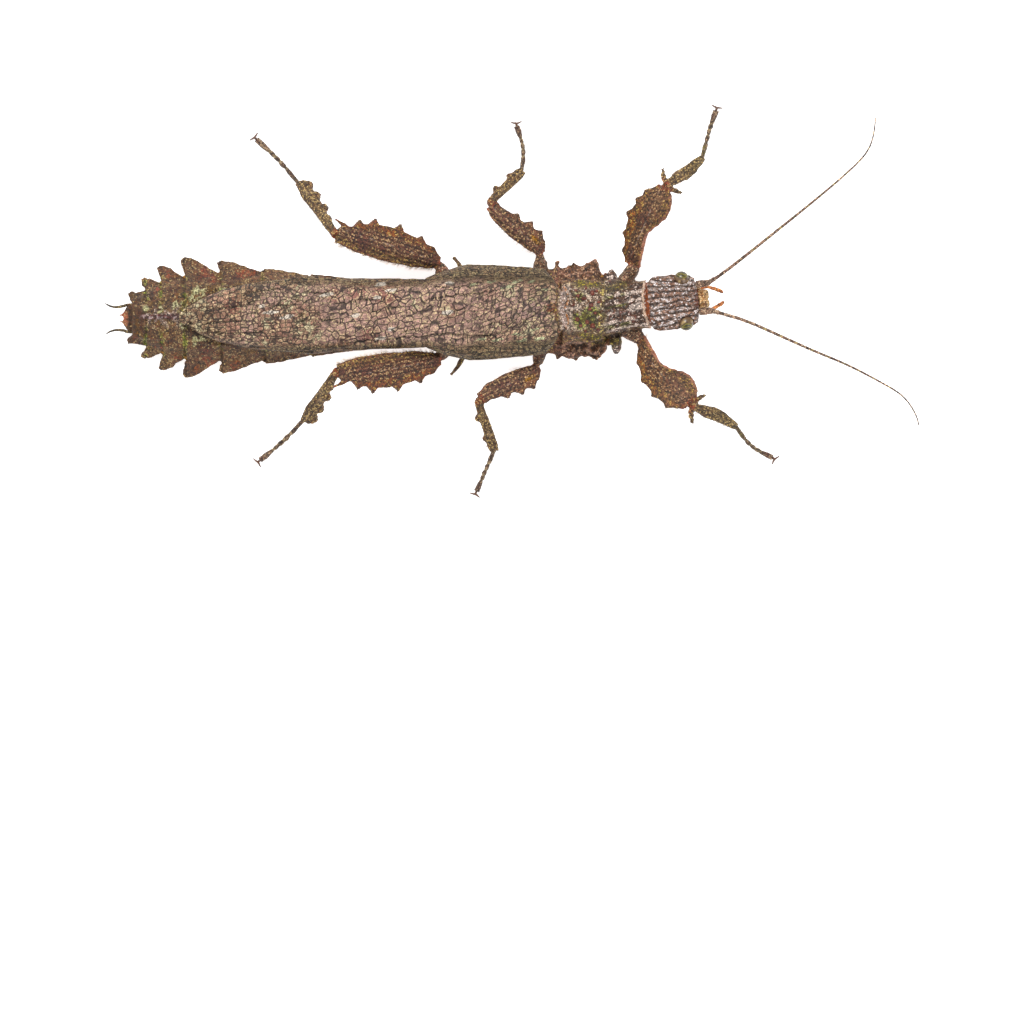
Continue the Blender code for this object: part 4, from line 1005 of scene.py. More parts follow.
def maths(tree, operation, first, second):
    """A Math node whose inputs are sockets or plain numbers."""
    node = tree.nodes.new("ShaderNodeMath")
    node.operation = operation
    for socket, value in zip(node.inputs, (first, second)):
        if isinstance(value, (int, float)):
            socket.default_value = value
        else:
            tree.links.new(value, socket)
    return node.outputs["Value"]


def times(tree, first, second):
    return maths(tree, "MULTIPLY", first, second)


def plus(tree, first, second):
    return maths(tree, "ADD", first, second)


def soft_step(tree, value, low, high):
    """A Map Range node that does what ramp() does to arrays."""
    node = tree.nodes.new("ShaderNodeMapRange")
    node.interpolation_type = "SMOOTHSTEP"
    node.inputs["From Min"].default_value = low
    node.inputs["From Max"].default_value = high
    tree.links.new(value, node.inputs["Value"])
    return node.outputs["Result"]


def mixed(tree, factor, first, second, kind="MIX"):
    """A Mix node whose inputs are sockets, plain numbers or plain colours."""
    node = tree.nodes.new("ShaderNodeMix")
    node.data_type = "RGBA"
    node.blend_type = kind
    for name, value in (("Factor", factor), ("A", first), ("B", second)):
        socket = next(s for s in node.inputs if s.name == name and s.enabled)
        if isinstance(value, (int, float)):
            socket.default_value = value
        elif isinstance(value, bpy.types.NodeSocket):
            tree.links.new(value, socket)
        else:
            socket.default_value = (*value, 1.0)
    return next(s for s in node.outputs if s.enabled)


def attribute(tree, name):
    node = tree.nodes.new("ShaderNodeAttribute")
    node.attribute_name = name
    return node


def voronoi(tree, vector, feature, scale, looseness=0.85):
    """A cell texture over stored measures, with the given number of cells per unit."""
    cells = tree.nodes.new("ShaderNodeTexVoronoi")
    cells.feature = feature
    cells.inputs["Scale"].default_value = scale
    cells.inputs["Randomness"].default_value = looseness
    tree.links.new(vector, cells.inputs["Vector"])
    return cells


def channels(tree, colour):
    split = tree.nodes.new("ShaderNodeSeparateColor")
    tree.links.new(colour, split.inputs["Color"])
    return split.outputs


GAP_COLOUR = (0.016, 0.010, 0.008)             # of what lies between grains and plates


def darkened(tree, colour, weight):
    return mixed(tree, weight, colour, GAP_COLOUR)


# Horny plates of the wings: size along and across, how irregular, and width of the joints.
WIDE_PLATES = (0.92, 0.78), 0.70, 0.078
FINE_PLATES = (0.62, 0.50), 0.65, 0.125


def plate_joints(tree, size, looseness, width):
    """Dark lines between the horny plates of the wings, their rims, and a tone for each."""
    stretch = tree.nodes.new("ShaderNodeVectorMath")
    stretch.operation = "MULTIPLY"
    link(tree, attribute(tree, "plates"), "Vector", stretch, 0)
    stretch.inputs[1].default_value = (1 / size[0], 1 / size[1], 0.0)
    edge = voronoi(tree, stretch.outputs["Vector"], "DISTANCE_TO_EDGE", 1.0, looseness)
    edge = edge.outputs["Distance"]
    cells = voronoi(tree, stretch.outputs["Vector"], "F1", 1.0, looseness)
    tone = channels(tree, cells.outputs["Color"])["Red"]
    rim = times(tree, soft_step(tree, edge, 0.04, 0.09), soft_step(tree, edge, 0.20, 0.10))
    return soft_step(tree, edge, width, 0.3 * width), rim, tone


def cuticle_material(name, roughness, plated=False):
    """Horny skin built of grains: pale ones, dark ones, and dark gaps between them."""
    material, tree, shader = principled(name, roughness)
    ground, fleck = attribute(tree, "ground"), attribute(tree, "fleck")
    pale, dark = (attribute(tree, name).outputs["Fac"] for name in ("pale", "dark"))
    grains = attribute(tree, "grains").outputs["Vector"]
    cells = voronoi(tree, grains, "F1", 1.0)
    edge = voronoi(tree, grains, "DISTANCE_TO_EDGE", 1.0).outputs["Distance"]
    crumbs = voronoi(tree, grains, "F1", 2.3, 1.0)
    chance = channels(tree, cells.outputs["Color"])
    fine = channels(tree, crumbs.outputs["Color"])
    clouds = textured(tree, "ShaderNodeTexNoise", 1.5, 4.0)
    dust = textured(tree, "ShaderNodeTexNoise", 4.5, 3.0)

    dim = mixed(tree, 1.0, ground.outputs["Color"], (0.42, 0.42, 0.42), "MULTIPLY")
    tone = times(tree, chance["Blue"], soft_step(tree, clouds.outputs["Fac"], 0.3, 0.6))
    coloured = mixed(tree, plus(tree, tone, 0.28), dim, ground.outputs["Color"])
    dome = soft_step(tree, edge, 0.04, 0.16)
    chosen = times(tree, maths(tree, "LESS_THAN", chance["Red"], pale), dome)
    coloured = mixed(tree, chosen, coloured, fleck.outputs["Color"])
    bits = maths(tree, "LESS_THAN", fine["Red"], times(tree, pale, 0.55))
    coloured = mixed(tree, times(tree, bits, 0.5), coloured, fleck.outputs["Color"])
    hole = maths(tree, "LESS_THAN", chance["Green"], dark)
    coloured = darkened(tree, coloured, times(tree, hole, 0.72))
    hole = maths(tree, "LESS_THAN", fine["Green"], dark)
    coloured = darkened(tree, coloured, times(tree, hole, 0.50))
    gap = times(tree, soft_step(tree, edge, 0.13, 0.02), 0.55)
    coloured = darkened(tree, coloured, gap)
    specks = times(tree, soft_step(tree, dust.outputs["Fac"], 0.50, 0.34), 0.5)
    coloured = darkened(tree, coloured, specks)
    height = plus(tree, times(tree, dome, 0.8), dust.outputs["Fac"])
    if plated:
        large = attribute(tree, "large").outputs["Fac"]
        small = maths(tree, "SUBTRACT", 1.0, large)
        layers = zip(plate_joints(tree, *WIDE_PLATES), plate_joints(tree, *FINE_PLATES))
        joint, rim, tone = (plus(tree, times(tree, wide, large), times(tree, narrow, small))
                            for wide, narrow in layers)
        worn = soft_step(tree, clouds.outputs["Fac"], 0.46, 0.62)
        rim = times(tree, times(tree, rim, worn), 0.42)
        coloured = darkened(tree, coloured, times(tree, tone, 0.22))
        coloured = mixed(tree, rim, coloured, fleck.outputs["Color"])
        coloured = darkened(tree, coloured, times(tree, joint, 0.84))
        height = maths(tree, "SUBTRACT", height, times(tree, joint, 1.6))
    tree.links.new(coloured, shader.inputs["Base Color"])
    bump = tree.nodes.new("ShaderNodeBump")
    bump.inputs["Strength"].default_value = 0.9
    bump.inputs["Distance"].default_value = 0.05 * MM
    tree.links.new(height, bump.inputs["Height"])
    link(tree, bump, "Normal", shader, "Normal")
    dull = maths(tree, "SUBTRACT", 1.0, attribute(tree, "gloss").outputs["Fac"])
    rough = plus(tree, dull, times(tree, dust.outputs["Fac"], 0.1))
    tree.links.new(rough, shader.inputs["Roughness"])
    return material


# Pieces ------------------------------------------------------------------------------------

def place(name, mesh, material, slot, nodes=()):
    """Put a finished piece on the frame in place of its CAD nodes."""
    piece = added(name, mesh)
    mesh.materials.clear()
    mesh.materials.append(material)
    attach(piece, "root")
    if nodes:
        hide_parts(*nodes)
    return piece


def dressed(mesh, coat, sink=0.0):
    """Raise the relief on a mesh, store the colours on it and turn it into metres."""
    points = coat.points + coat.normals * (coat.lift - sink)[:, None]
    set_points(mesh, np.clip(to_world(points), *CAD_BOX))
    solid = np.ones(len(points))
    for name in ("ground", "fleck"):
        layer = mesh.color_attributes.new(name, "FLOAT_COLOR", "POINT")
        colour = np.column_stack((vivid(getattr(coat, name)), solid))
        layer.data.foreach_set("color", colour.astype("f").ravel())
    for name in ("pale", "dark", "gloss", "large"):
        layer = mesh.attributes.new(name, "FLOAT", "POINT")
        layer.data.foreach_set("value", np.clip(getattr(coat, name), 0, 1).astype("f"))
    for name in ("grains", "plates"):
        layer = mesh.attributes.new(name, "FLOAT_VECTOR", "POINT")
        layer.data.foreach_set("vector", getattr(coat, name).astype("f").ravel())
    mesh.shade_smooth()


WING_MEETING = ((32.5, 0.0, 5.70), (0.9, 0.8, 0.36))    # where all four wings meet


def make_wings():
    """The four folded wings and wing covers, as one closed surface."""
    mesh = one_surface("folded_wings", WING_NODES, (WING_MEETING,))
    points = arrays(mesh)[0]
    coat = Coat(points, normals_of(mesh))
    stations = np.linspace(points[:, 0].min(), points[:, 0].max(), 40)
    tops = [points[np.abs(points[:, 0] - at) < 0.8, 2].max() for at in stations]
    paint_wings(coat, (stations, tops))
    dressed(mesh, coat, GROWTH)
    material = cuticle_material("wing_bark", 0.6, plated=True)
    place("folded_wings", mesh, material, "bark_wing", WING_NODES)


COLLAR_FRONT = 52.2        # where the collar meets the pronotum
# Corners where the collar's side lobes meet the pronotum, and the blunt tips of the last
# four lobes: place and radius.
CORNERS = ((52.40, 3.70, 0.55), (52.65, -3.45, 0.55))
LOBE_TIPS = ((0.24, 2.60, 0.50), (-0.02, -2.40, 0.50), (1.68, 3.82, 0.54), (1.52, -4.08, 0.54))
NECK_RADII = (0.80, 2.15, 1.0)                  # of the ball that joins head and pronotum
HINGE, HINGE_RADII = (47.15, 0.0, 5.55), (0.9, 2.6, 0.58)     # between the wings and the collar


def close_sockets(coat):
    """Bring the wall around each eyeball up to it, and darken that wall with painted shade."""
    for side in ("left", "right"):
        low, high = (to_body(np.array(corner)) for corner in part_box(f"eye_{side}"))
        away = coat.points - (low + high) / 2
        out = np.linalg.norm(away / ((high - low) / 2), axis=1)
        away /= np.linalg.norm(away, axis=1)[:, None]
        facing = -(coat.normals * away).sum(1)
        reach = ramp(facing, -0.2, 0.3) * (1 - ramp(out, 1.35, 1.5))
        wall = (low + high) / 2 + (coat.points - (low + high) / 2) * (SOCKET_FIT / out)[:, None]
        coat.points = coat.points + (wall - coat.points) * reach[:, None]
        coat.lift *= 1 - reach
        # Painted shade on the socket wall around the eye.
        coat.shade(0.5 * reach)


def blunted(points):
    """Round off the rings' lobes where they reach beyond their tips' circles."""
    for place, aside, radius in LOBE_TIPS:
        away = points[:, :2] - (place, aside)
        out = np.linalg.norm(away, axis=1)
        outward = away @ np.array((-0.75, 0.66 * np.sign(aside))) / np.maximum(out, 1e-6)
        reach = radius - GROWTH + 0.12
        chosen = (outward > 0.1) & (out > reach) & (out < reach + 0.55)
        share = np.where(chosen, (reach + 0.15 * (out - reach)) / np.maximum(out, 1e-6), 1)
        pull = 1 - (1 - share) * ramp(outward, 0.1, 0.45)
        points[:, :2] = (place, aside) + away * pull[:, None]
    return points


def resting(circles, nodes):
    """Flat balls at places on the body, as high as the CAD is there."""
    points = np.concatenate([welded(node)[0] for node in nodes])
    balls = []
    for place, aside, radius in circles:
        away = np.hypot(points[:, 0] - place, points[:, 1] - aside)
        height = points[np.argsort(away)[:6], 2].mean()
        balls.append(((place, aside, height), (radius, radius, 0.36)))
    return balls


def make_skin():
    """One skin over the body and the legs, painted by the CAD node that it lies on."""
    nodes = sorted(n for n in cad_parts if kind_of(n) not in SEPARATE)
    prothorax, head = Heading("prothorax", "head"), Heading("head", "mouthparts")
    neck = (*(head.middle + head.along * (head.back - 0.1)), centre("prothorax")[2])
    rings = [node for node in nodes if kind_of(node) == "abdomen"]
    bridges = [(neck, NECK_RADII), (HINGE, HINGE_RADII)]
    bridges += resting(CORNERS, ("mesothorax", "prothorax")) + resting(LOBE_TIPS, rings)
    mesh = one_surface("skin", nodes, bridges)
    points, _, edges = arrays(mesh)
    points = blunted(points)
    set_points(mesh, points)
    coat = Coat(points, normals_of(mesh))
    owner, gap = nearest_nodes(points, nodes)
    paint_skin_base(coat)
    meeting = (np.abs(points[:, 0] - COLLAR_FRONT) < 1.2) & (np.abs(points[:, 1]) < 3.6)
    meeting &= np.isin(owner, (nodes.index("mesothorax"), nodes.index("prothorax")))
    behind, ahead = coat.take(meeting), coat.take(meeting)
    for number, node in enumerate(nodes):
        chosen = owner == number
        part = coat.take(chosen)
        kind = kind_of(node)
        if kind in ("abdomen", "operculum"):
            paint_abdomen(part)
            paint_belly(part)
        elif kind in ("mesothorax", "metathorax"):
            paint_thorax(part)
            paint_belly(part)
        elif kind == "prothorax":
            paint_prothorax(part, prothorax)
            paint_belly(part)
        elif kind == "head":
            paint_head(part, head)
        else:
            pair, side = node.split("_")[1:]
            before = {"coxa": "metathorax", "femur": f"coxa_{pair}_{side}",
                      "tibia": f"femur_{pair}_{side}", "tarsus": f"tibia_{pair}_{side}"}[kind]
            paint_limb(part, pair, kind, Limb(node, before))
        coat.put(chosen, part)
    paint_thorax(behind)
    paint_prothorax(ahead, prothorax)
    sway = 0.5 * behind.noise(0.9, 181) + 0.25 * behind.noise(0.35, 182)
    behind.blend(ahead, ramp(behind.points[:, 0] + sway, COLLAR_FRONT - 0.5, COLLAR_FRONT + 0.5))
    coat.put(meeting, behind)
    joint = ramp(gap, GROWTH + 0.05, GROWTH + 0.20) * (np.abs(points[:, 0] - HINGE[0]) > 1.5)
    coat.tint((140, 88, 62), 0.5 * joint)
    coat.lift *= 1 - joint
    coat.bare(joint)
    close_sockets(coat)
    sink = GROWTH * (1 - 0.85 * ramp(sharpness(points, coat.normals, edges) / VOXEL, 0.2, 0.7))
    dressed(mesh, coat, sink)
    material = cuticle_material("body_cuticle", 0.6)
    place("skin", mesh, material, "bark_cuticle", nodes)
    make_fringes(coat, nodes)


PATCH = 0.003              # width of each tuft's patch on the skin's unwrap
TUFTS = 560
HAIRS = 3                  # in each tuft
HAIR_RADIUS = 0.020        # at its foot
HAIR_STATIONS = 5          # along each hair
HAIR_SIDES = 3


def unwrapped(nodes):
    """Triangles of the skin's CAD nodes in metres, and their places on an unwrap of them."""
    points, faces = [], []
    for node in nodes:
        piece, polygons = welded(node)
        faces += [[index + len(points) for index in polygon] for polygon in polygons]
        points += piece.tolist()
    mesh = mesh_of("unwrap", to_world(np.array(points)), faces)
    piece = added("unwrap", mesh)
    bpy.context.view_layer.objects.active = piece
    piece.select_set(True)
    bpy.ops.object.mode_set(mode="EDIT")
    bpy.ops.mesh.select_all(action="SELECT")
    bpy.ops.mesh.quads_convert_to_tris()
    bpy.ops.uv.smart_project(angle_limit=math.radians(66), island_margin=0.002)
    bpy.ops.object.mode_set(mode="OBJECT")
    corners = np.array([vert.co for vert in mesh.vertices])
    faces = [tuple(polygon.vertices) for polygon in mesh.polygons]
    layer = mesh.uv_layers.active.data
    flat = [[Vector((*layer[i].uv, 0)) for i in polygon.loop_indices] for polygon in mesh.polygons]
    bpy.data.objects.remove(piece)
    bpy.data.meshes.remove(mesh)
    return corners, faces, flat


def make_fringes(coat, nodes):
    """Fine pale bristles along the edges of the legs, in small leaning tufts."""
    rng = np.random.default_rng(19)
    wanted = np.flatnonzero(coat.fringe > 0.3)
    roots = rng.choice(wanted, size=TUFTS, replace=False, p=coat.fringe[wanted]
                       / coat.fringe[wanted].sum())
    corners, triangles, flat = unwrapped(nodes)
    tree = BVHTree.FromPolygons([Vector(c) for c in corners], triangles)
    shares = np.linspace(0, 1, HAIR_STATIONS)
    rows, turns = np.repeat(shares, HAIR_SIDES), np.tile(range(HAIR_SIDES), HAIR_STATIONS)
    points, faces, places = [], [], []
    for root in roots:
        base, out = coat.points[root], coat.normals[root]
        spot, _, face, _ = tree.find_nearest(to_world(base))
        a, b, c = (Vector(corners[i]) for i in triangles[face])
        home = np.array(barycentric_transform(spot, a, b, c, *flat[face])[:2])
        home = np.clip(home, PATCH, 1 - PATCH)
        lean = rng.normal(0, 0.35, 3) + np.array((-0.5, 0, 0))
        for hair in range(HAIRS):
            reach = rng.uniform(0.30, 0.62)
            aim = out * 0.8 + lean + rng.normal(0, 0.18, 3)
            aim /= np.linalg.norm(aim)
            foot = base - out * 0.12 + rng.normal(0, 0.04, 3)
            route = foot + np.outer(shares * reach, aim) + np.outer(shares ** 2, lean) * 0.12
            piece, quads = tube(route, HAIR_RADIUS * (1 - 0.8 * shares), HAIR_SIDES)
            faces += [tuple(i + len(points) for i in quad) for quad in quads]
            points += piece.tolist()
            column = (turns + HAIR_SIDES * hair) / (HAIR_SIDES * HAIRS)
            spread = np.column_stack((rows, column))
            places += (home + (spread - 0.5) * PATCH).tolist()
    mesh = mesh_of("bristles", np.clip(to_world(np.array(points)), *CAD_BOX), faces)
    layer = mesh.uv_layers.new(name="OFBake")
    index = np.zeros(len(mesh.loops), int)
    mesh.loops.foreach_get("vertex_index", index)
    layer.data.foreach_set("uv", np.array(places)[index].astype("f").ravel())
    mesh.shade_smooth()
    material, _, shader = principled("bristle_horn", 0.5)
    shader.inputs["Base Color"].default_value = (*paint(232, 214, 194), 1.0)
    place("bristles", mesh, material, "leg_cuticle")


def tube(route, radii, sides):
    """Points and quads of a round tube along a route, closed at both ends."""
    route = np.asarray(route, float)
    forward = np.gradient(route, axis=0)
    forward /= np.linalg.norm(forward, axis=1)[:, None]
    up = np.array((0.0, 0.0, 1.0))
    points, faces = [], []
    for i, (spot, ahead, radius) in enumerate(zip(route, forward, radii)):
        right = np.cross(ahead, up)
        right /= np.linalg.norm(right)
        up = np.cross(right, ahead)
        for turn in np.arange(sides) * math.tau / sides:
            points.append(spot + radius * (math.cos(turn) * right + math.sin(turn) * up))
        if i:
            for j in range(sides):
                k = (j + 1) % sides
                low, high = (i - 1) * sides, i * sides
                faces.append((low + j, high + j, high + k, low + k))
    last = (len(route) - 1) * sides
    faces.append(tuple(range(sides)))
    faces.append(tuple(last + j for j in reversed(range(sides))))
    return np.array(points), faces


def resampled(route, count):
    """Evenly spaced points on a smooth curve through a route."""
    steps = np.linalg.norm(np.diff(route, axis=0), axis=1)
    length = np.concatenate(([0], np.cumsum(steps)))
    at = np.linspace(0, length[-1], count)
    fine = np.column_stack([np.interp(at, length, column) for column in route.T])
    for _ in range(count // 12):
        fine[1:-1] = (fine[:-2] + 2 * fine[1:-1] + fine[2:]) / 4
    return fine, at


SIDES = 12                 # of the tubes that feelers and cerci are made of
PALP_SIDES = 14


def tube_piece(node, route, radii, sides=SIDES):
    """A tube with a coat to paint."""
    points, faces = tube(route, radii, sides)
    mesh = mesh_of(node, points, faces)
    return mesh, Coat(points, normals_of(mesh))


CERCUS_DEPTH = 0.6         # how far a cercus reaches into the abdomen


def make_cerci():
    """The two thin curved feelers at the end of the abdomen."""
    material = cuticle_material("cercus_cuticle", 0.5)
    for side in ("left", "right"):
        node = f"cercus_{side}"
        route, at = resampled(centreline(node, np.array((1.0, 0, 1.2)), 24), 90)
        share = at / at[-1]
        inward = -np.sign(route[:, 1])
        route[:, 1] += inward * (0.20 * np.sin(math.pi * share) - 0.10)
        start = route[0] + np.array((CERCUS_DEPTH, 0.0, -0.05))
        route, at = resampled(np.concatenate(([start], route)), 90)
        share = at / at[-1]
        radii = np.interp(share, (0, 0.12, 0.5, 0.85, 1.0), (0.20, 0.17, 0.15, 0.10, 0.02))
        mesh, coat = tube_piece(node, route, radii)
        along = np.repeat(share, SIDES)
        coat.ground[:] = paint(104, 92, 68)
        coat.tint((56, 48, 42), 0.8 * ramp(along, 0.55, 0.9))
        coat.tint((130, 84, 58), 0.6 * (1 - ramp(along, 0.05, 0.2)))
        coat.flecked((170, 156, 118), 0.25)
        coat.grains = coat.points / 0.22
        dressed(mesh, coat)
        place(node, mesh, material, "bark_cuticle", (node,))


FEELER_JOINT = 0.95        # length of the joints along most of a feeler
SCAPE_DEPTH = 1.35         # how far back on the head a feeler starts


def make_antennae():
    """The two long feelers of many joints, pale at every other one."""
    material = cuticle_material("feeler_cuticle", 0.55)
    ahead = Heading("head", "mouthparts").along
    for side in ("left", "right"):
        node = f"antenna_{side}"
        root = centre("mouthparts") - np.array((3.5, 0, 0))
        line = centreline(node, root, 60)
        start = line[0] - SCAPE_DEPTH * np.array((*ahead, 0.0))
        route, at = resampled(np.concatenate(([start], line)), 900)
        joint = at / FEELER_JOINT
        ringed = np.abs(joint - np.round(joint)) * FEELER_JOINT
        taper = np.interp(at, (0, 0.9, 1.5, 1.6, 2.2, 2.3, 5, 14, at[-1]),
                          (0.38, 0.42, 0.34, 0.27, 0.26, 0.20, 0.19, 0.15, 0.07))
        radii = taper * (1 - 0.16 * (1 - ramp(ringed, 0.0, 0.12)))
        radii[0] = radii[-1] = 0.02
        mesh, coat = tube_piece(node, route, radii)
        along, ringed, number = (np.repeat(values, SIDES)
                                 for values in (at, ringed, np.round(joint)))
        coat.ground[:] = paint(154, 124, 110)
        coat.tint((84, 64, 56), 0.7 * coat.patches(0.35, 161, 0.0, 0.4))
        coat.tint((200, 178, 156), 0.6 * coat.patches(0.3, 162, 0.1, 0.5))
        coat.grains = coat.points / 0.2
        pale = (1 - ramp(ringed, 0.10, 0.26)) * (np.mod(number, 2) == 0) * ramp(along, 4.0, 8.0)
        coat.tint((214, 200, 150), 0.85 * pale)
        far = ramp(along, 0.75 * at[-1], 0.85 * at[-1])
        coat.tint((60, 44, 38), 0.8 * far * (1 - pale))
        coat.tint((150, 120, 92), 0.4 * near(along, 0.6, 0.8))
        coat.flecked((210, 190, 168), 0.3)
        dressed(mesh, coat)
        place(node, mesh, material, "leg_cuticle", (node,))


def eye_material():
    """The painted eye in fine facets, under a clear surface."""
    material, tree, shader = principled("eye_facets", 0.35)
    ground = attribute(tree, "ground")
    facets = textured(tree, "ShaderNodeTexVoronoi", 11.0)
    dark = soft_step(tree, facets.outputs["Distance"], 0.35, 0.75)
    coloured = mixed(tree, times(tree, dark, 0.3), ground.outputs["Color"],
                     (0.02, 0.018, 0.01))
    tree.links.new(coloured, shader.inputs["Base Color"])
    shader.inputs["Coat Weight"].default_value = 0.25
    shader.inputs["Coat Roughness"].default_value = 0.2
    bump = tree.nodes.new("ShaderNodeBump")
    bump.inputs["Strength"].default_value = 0.3
    bump.inputs["Distance"].default_value = 0.01 * MM
    tree.links.new(facets.outputs["Distance"], bump.inputs["Height"])
    link(tree, bump, "Normal", shader, "Normal")
    return material


EYE_FIT = 0.985            # share of its box that an eyeball fills
SOCKET_FIT = 0.93          # how far out the wall of its socket is, in radii of the box


def make_eyes():
    """Dark olive outside with green-gold rings, and paler brown towards the head."""
    material = eye_material()
    for side, turn in (("left", 1), ("right", -1)):
        low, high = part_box(f"eye_{side}")
        shape = bmesh.new()
        bmesh.ops.create_uvsphere(shape, u_segments=96, v_segments=64, radius=0.5)
        size = (high - low) * EYE_FIT
        bmesh.ops.scale(shape, verts=shape.verts, vec=size)
        bmesh.ops.translate(shape, verts=shape.verts, vec=(low + high) / 2)
        mesh = bpy.data.meshes.new(f"eye_{side}")
        shape.to_mesh(mesh)
        shape.free()
        points = np.array([vert.co for vert in mesh.vertices])
        away = (points - np.array(low + high) / 2) / (np.array(size) / 2)
        coat = Coat(to_body(points), away)
        outward = away @ np.array((0.15, 0.90 * turn, 0.42))
        rings = near(outward + 0.10 * coat.noise(0.4, 191), 0.62, 0.10)
        rings = np.maximum(rings, near(outward + 0.10 * coat.noise(0.4, 192), 0.84, 0.07))
        coat.ground[:] = paint(56, 54, 32)
        coat.tint((158, 152, 84), 0.75 * rings)
        inner = 1 - ramp(outward + 0.12 * coat.noise(0.3, 193), 0.30, 0.55)
        coat.tint((128, 108, 90), 0.85 * inner)
        coat.tint((190, 172, 130), 0.8 * inner * coat.patches(0.25, 194, 0.0, 0.3))
        coat.tint((70, 52, 44), 0.8 * inner * coat.patches(0.25, 195, 0.0, 0.3))
        dressed(mesh, coat)
        place(f"eyeball_{side}", mesh, material, "eye", (f"eye_{side}",))


def make_mouth():
    """The pale upper lip with dark dots, and the two orange palps."""
    low, high = (to_body(np.array(corner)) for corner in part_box("mouthparts"))
    root = ((low[0] - 0.1, (low[1] + high[1]) / 2 + 0.1, (low[2] + high[2]) / 2),
            (0.85, 1.45, 0.75))
    mesh = one_surface("clypeus", ("mouthparts",), (root,))
    points = arrays(mesh)[0]
    coat = Coat(points, normals_of(mesh))
    middle = (low + high) / 2
    cleft = near(points[:, 1], middle[1], 0.22) * ramp(points[:, 0], high[0] - 0.45, high[0])
    coat.lift += 0.03 * coat.noise(0.6, 172) - 0.12 * cleft
    coat.ground[:] = paint(196, 148, 98)
    coat.tint((224, 198, 150), 0.7 * ramp(points[:, 0], high[0] - 0.5, high[0] - 0.2))
    coat.tint((150, 84, 50), 0.85 * (1 - ramp(points[:, 0], low[0] - 0.05, low[0] + 0.20)))
    coat.tint((120, 66, 40), 0.8 * coat.patches(0.36, 173, 0.3, 0.5))
    coat.flecked((236, 212, 172), 0.35)
    coat.dark[:] = 0.10
    dressed(mesh, coat, GROWTH)
    place("clypeus", mesh, cuticle_material("lip_membrane", 0.5), "membrane", ("mouthparts",))
    material = cuticle_material("palp_skin", 0.45)
    for side in ("left", "right"):
        node = f"palp_{side}"
        root = centre("head")
        route, at = resampled(centreline(node, root, 24), 120)
        share = at / at[-1]
        radii = np.interp(share, (0, 0.1, 0.3, 0.36, 0.42, 0.6, 0.66, 0.72, 0.9, 0.97, 1.0),
                          (0.12, 0.15, 0.17, 0.155, 0.19, 0.21, 0.18, 0.22, 0.20, 0.13, 0.03))
        mesh, coat = tube_piece(node, route, radii, PALP_SIDES)
        along = np.repeat(share, PALP_SIDES)
        coat.ground[:] = paint(198, 136, 100)
        coat.dark[:] = 0.03
        for joint in (0.36, 0.66):
            coat.tint((232, 170, 116), 0.8 * near(along, joint, 0.07))
        coat.tint((180, 104, 66), 0.4 * coat.patches(0.4, 174, 0.1, 0.5))
        coat.flecked((236, 168, 112), 0.3)
        dressed(mesh, coat)
        place(node, mesh, material, "palp", (node,))


def make_claws():
    """Two curved claws at the tip of each foot."""
    horn, tree, shader = principled("claw_horn", 0.3)
    dust = textured(tree, "ShaderNodeTexNoise", 3.0)
    coloured = mixed(tree, dust.outputs["Fac"], tuple(paint(52, 34, 28)), tuple(paint(122, 84, 62)))
    tree.links.new(coloured, shader.inputs["Base Color"])
    for foot in FEET:
        node = f"claws_{foot}"
        points = welded(node)[0]
        middle = points.mean(0)
        across = np.linalg.svd((points - middle)[:, :2], full_matrices=False)[2][0]
        line = sliced(node, lambda p: (p - middle)[:, :2] @ across, 21, 0.03)
        back = centre(f"tarsus_{foot}") - line[10]
        root = line[10] + back / np.linalg.norm(back) * 0.35
        all_points, all_faces = [], []
        for half in (line[:11][::-1], line[10:]):
            route, at = resampled(np.concatenate(([root], half)), 24)
            share = at / at[-1]
            route[:, 2] += 0.06 * np.sin(math.pi * share)
            radii = np.interp(share, (0, 0.15, 0.6, 0.85, 1.0), (0.10, 0.14, 0.10, 0.07, 0.012))
            piece, faces = tube(route, radii, 10)
            all_faces += [tuple(i + len(all_points) for i in face) for face in faces]
            all_points += piece.tolist()
        mesh = mesh_of(node, to_world(np.array(all_points)), all_faces)
        mesh.shade_smooth()
        place(node, mesh, horn, "claw", (node,))


# Stage -------------------------------------------------------------------------------------

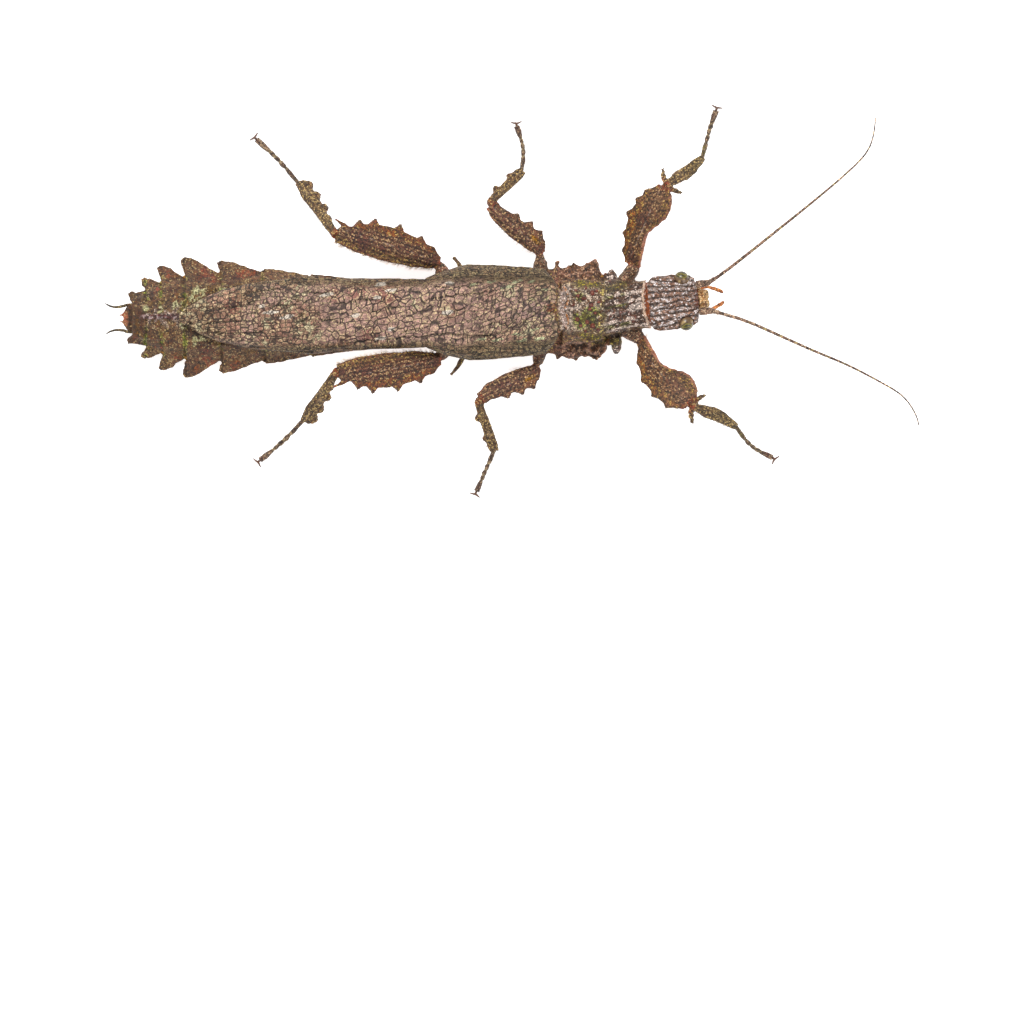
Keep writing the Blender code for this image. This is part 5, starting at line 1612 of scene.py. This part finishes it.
PICTURE_WIDTH = 112.64     # that the camera sees
PICTURE_LEVEL = 4.0        # height above the floor at which that width is measured
LENS, SENSOR = 500.0, 36.0     # focal length and width of the film
CAMERA_TURN = math.radians(-0.95)
AIM = (-0.39, -23.08)      # middle of the picture, from the middle of the insect's box


def make_camera():
    """A long lens straight above the insect, as in the photo."""
    middle = (CAD_BOX[0] + CAD_BOX[1]) / 2
    data = bpy.data.cameras.new("camera")
    data.lens, data.sensor_width = LENS, SENSOR
    data.clip_start, data.clip_end = 0.05, 10.0
    camera = added("camera", data)
    height = PICTURE_WIDTH * MM * LENS / SENSOR + PICTURE_LEVEL * MM
    camera.location = (middle.x + AIM[0] * MM, middle.y + AIM[1] * MM, height)
    camera.rotation_euler = (0, 0, CAMERA_TURN)
    bpy.context.scene.camera = camera


def make_floor():
    """White paper that glows a little, so that it is as white as in the photo."""
    shape = bmesh.new()
    bmesh.ops.create_grid(shape, x_segments=8, y_segments=8, size=2.0)
    mesh = bpy.data.meshes.new("floor")
    shape.to_mesh(mesh)
    shape.free()
    floor = added("floor", mesh)
    material, _, shader = principled("floor_paper", 0.9)
    shader.inputs["Base Color"].default_value = (0.78, 0.78, 0.78, 1.0)
    shader.inputs["Emission Color"].default_value = (1.0, 1.0, 1.0, 1.0)
    shader.inputs["Emission Strength"].default_value = 0.78
    mesh.materials.append(material)


def make_light(name, spot, size, power):
    """A square lamp that shines towards the insect."""
    data = bpy.data.lights.new(name, "AREA")
    data.size, data.energy = size, power
    lamp = added(name, data)
    lamp.location = spot
    lamp.rotation_euler = (-Vector(spot)).to_track_quat("-Z", "Y").to_euler()


def make_lights():
    world = bpy.data.worlds.new("studio")
    world.use_nodes = True
    sky = world.node_tree.nodes["Background"]
    sky.inputs["Color"].default_value = (1.0, 1.0, 1.0, 1.0)
    sky.inputs["Strength"].default_value = 0.62
    bpy.context.scene.world = world
    make_light("key", (-0.16, 0.42, 0.62), 0.30, 5.2)
    make_light("fill", (0.50, -0.45, 0.45), 0.45, 2.0)
    bpy.context.scene.view_settings.view_transform = "Standard"


def main():
    make_camera()
    make_floor()
    make_lights()
    make_skin()
    make_wings()
    make_antennae()
    make_cerci()
    make_eyes()
    make_mouth()
    make_claws()


main()
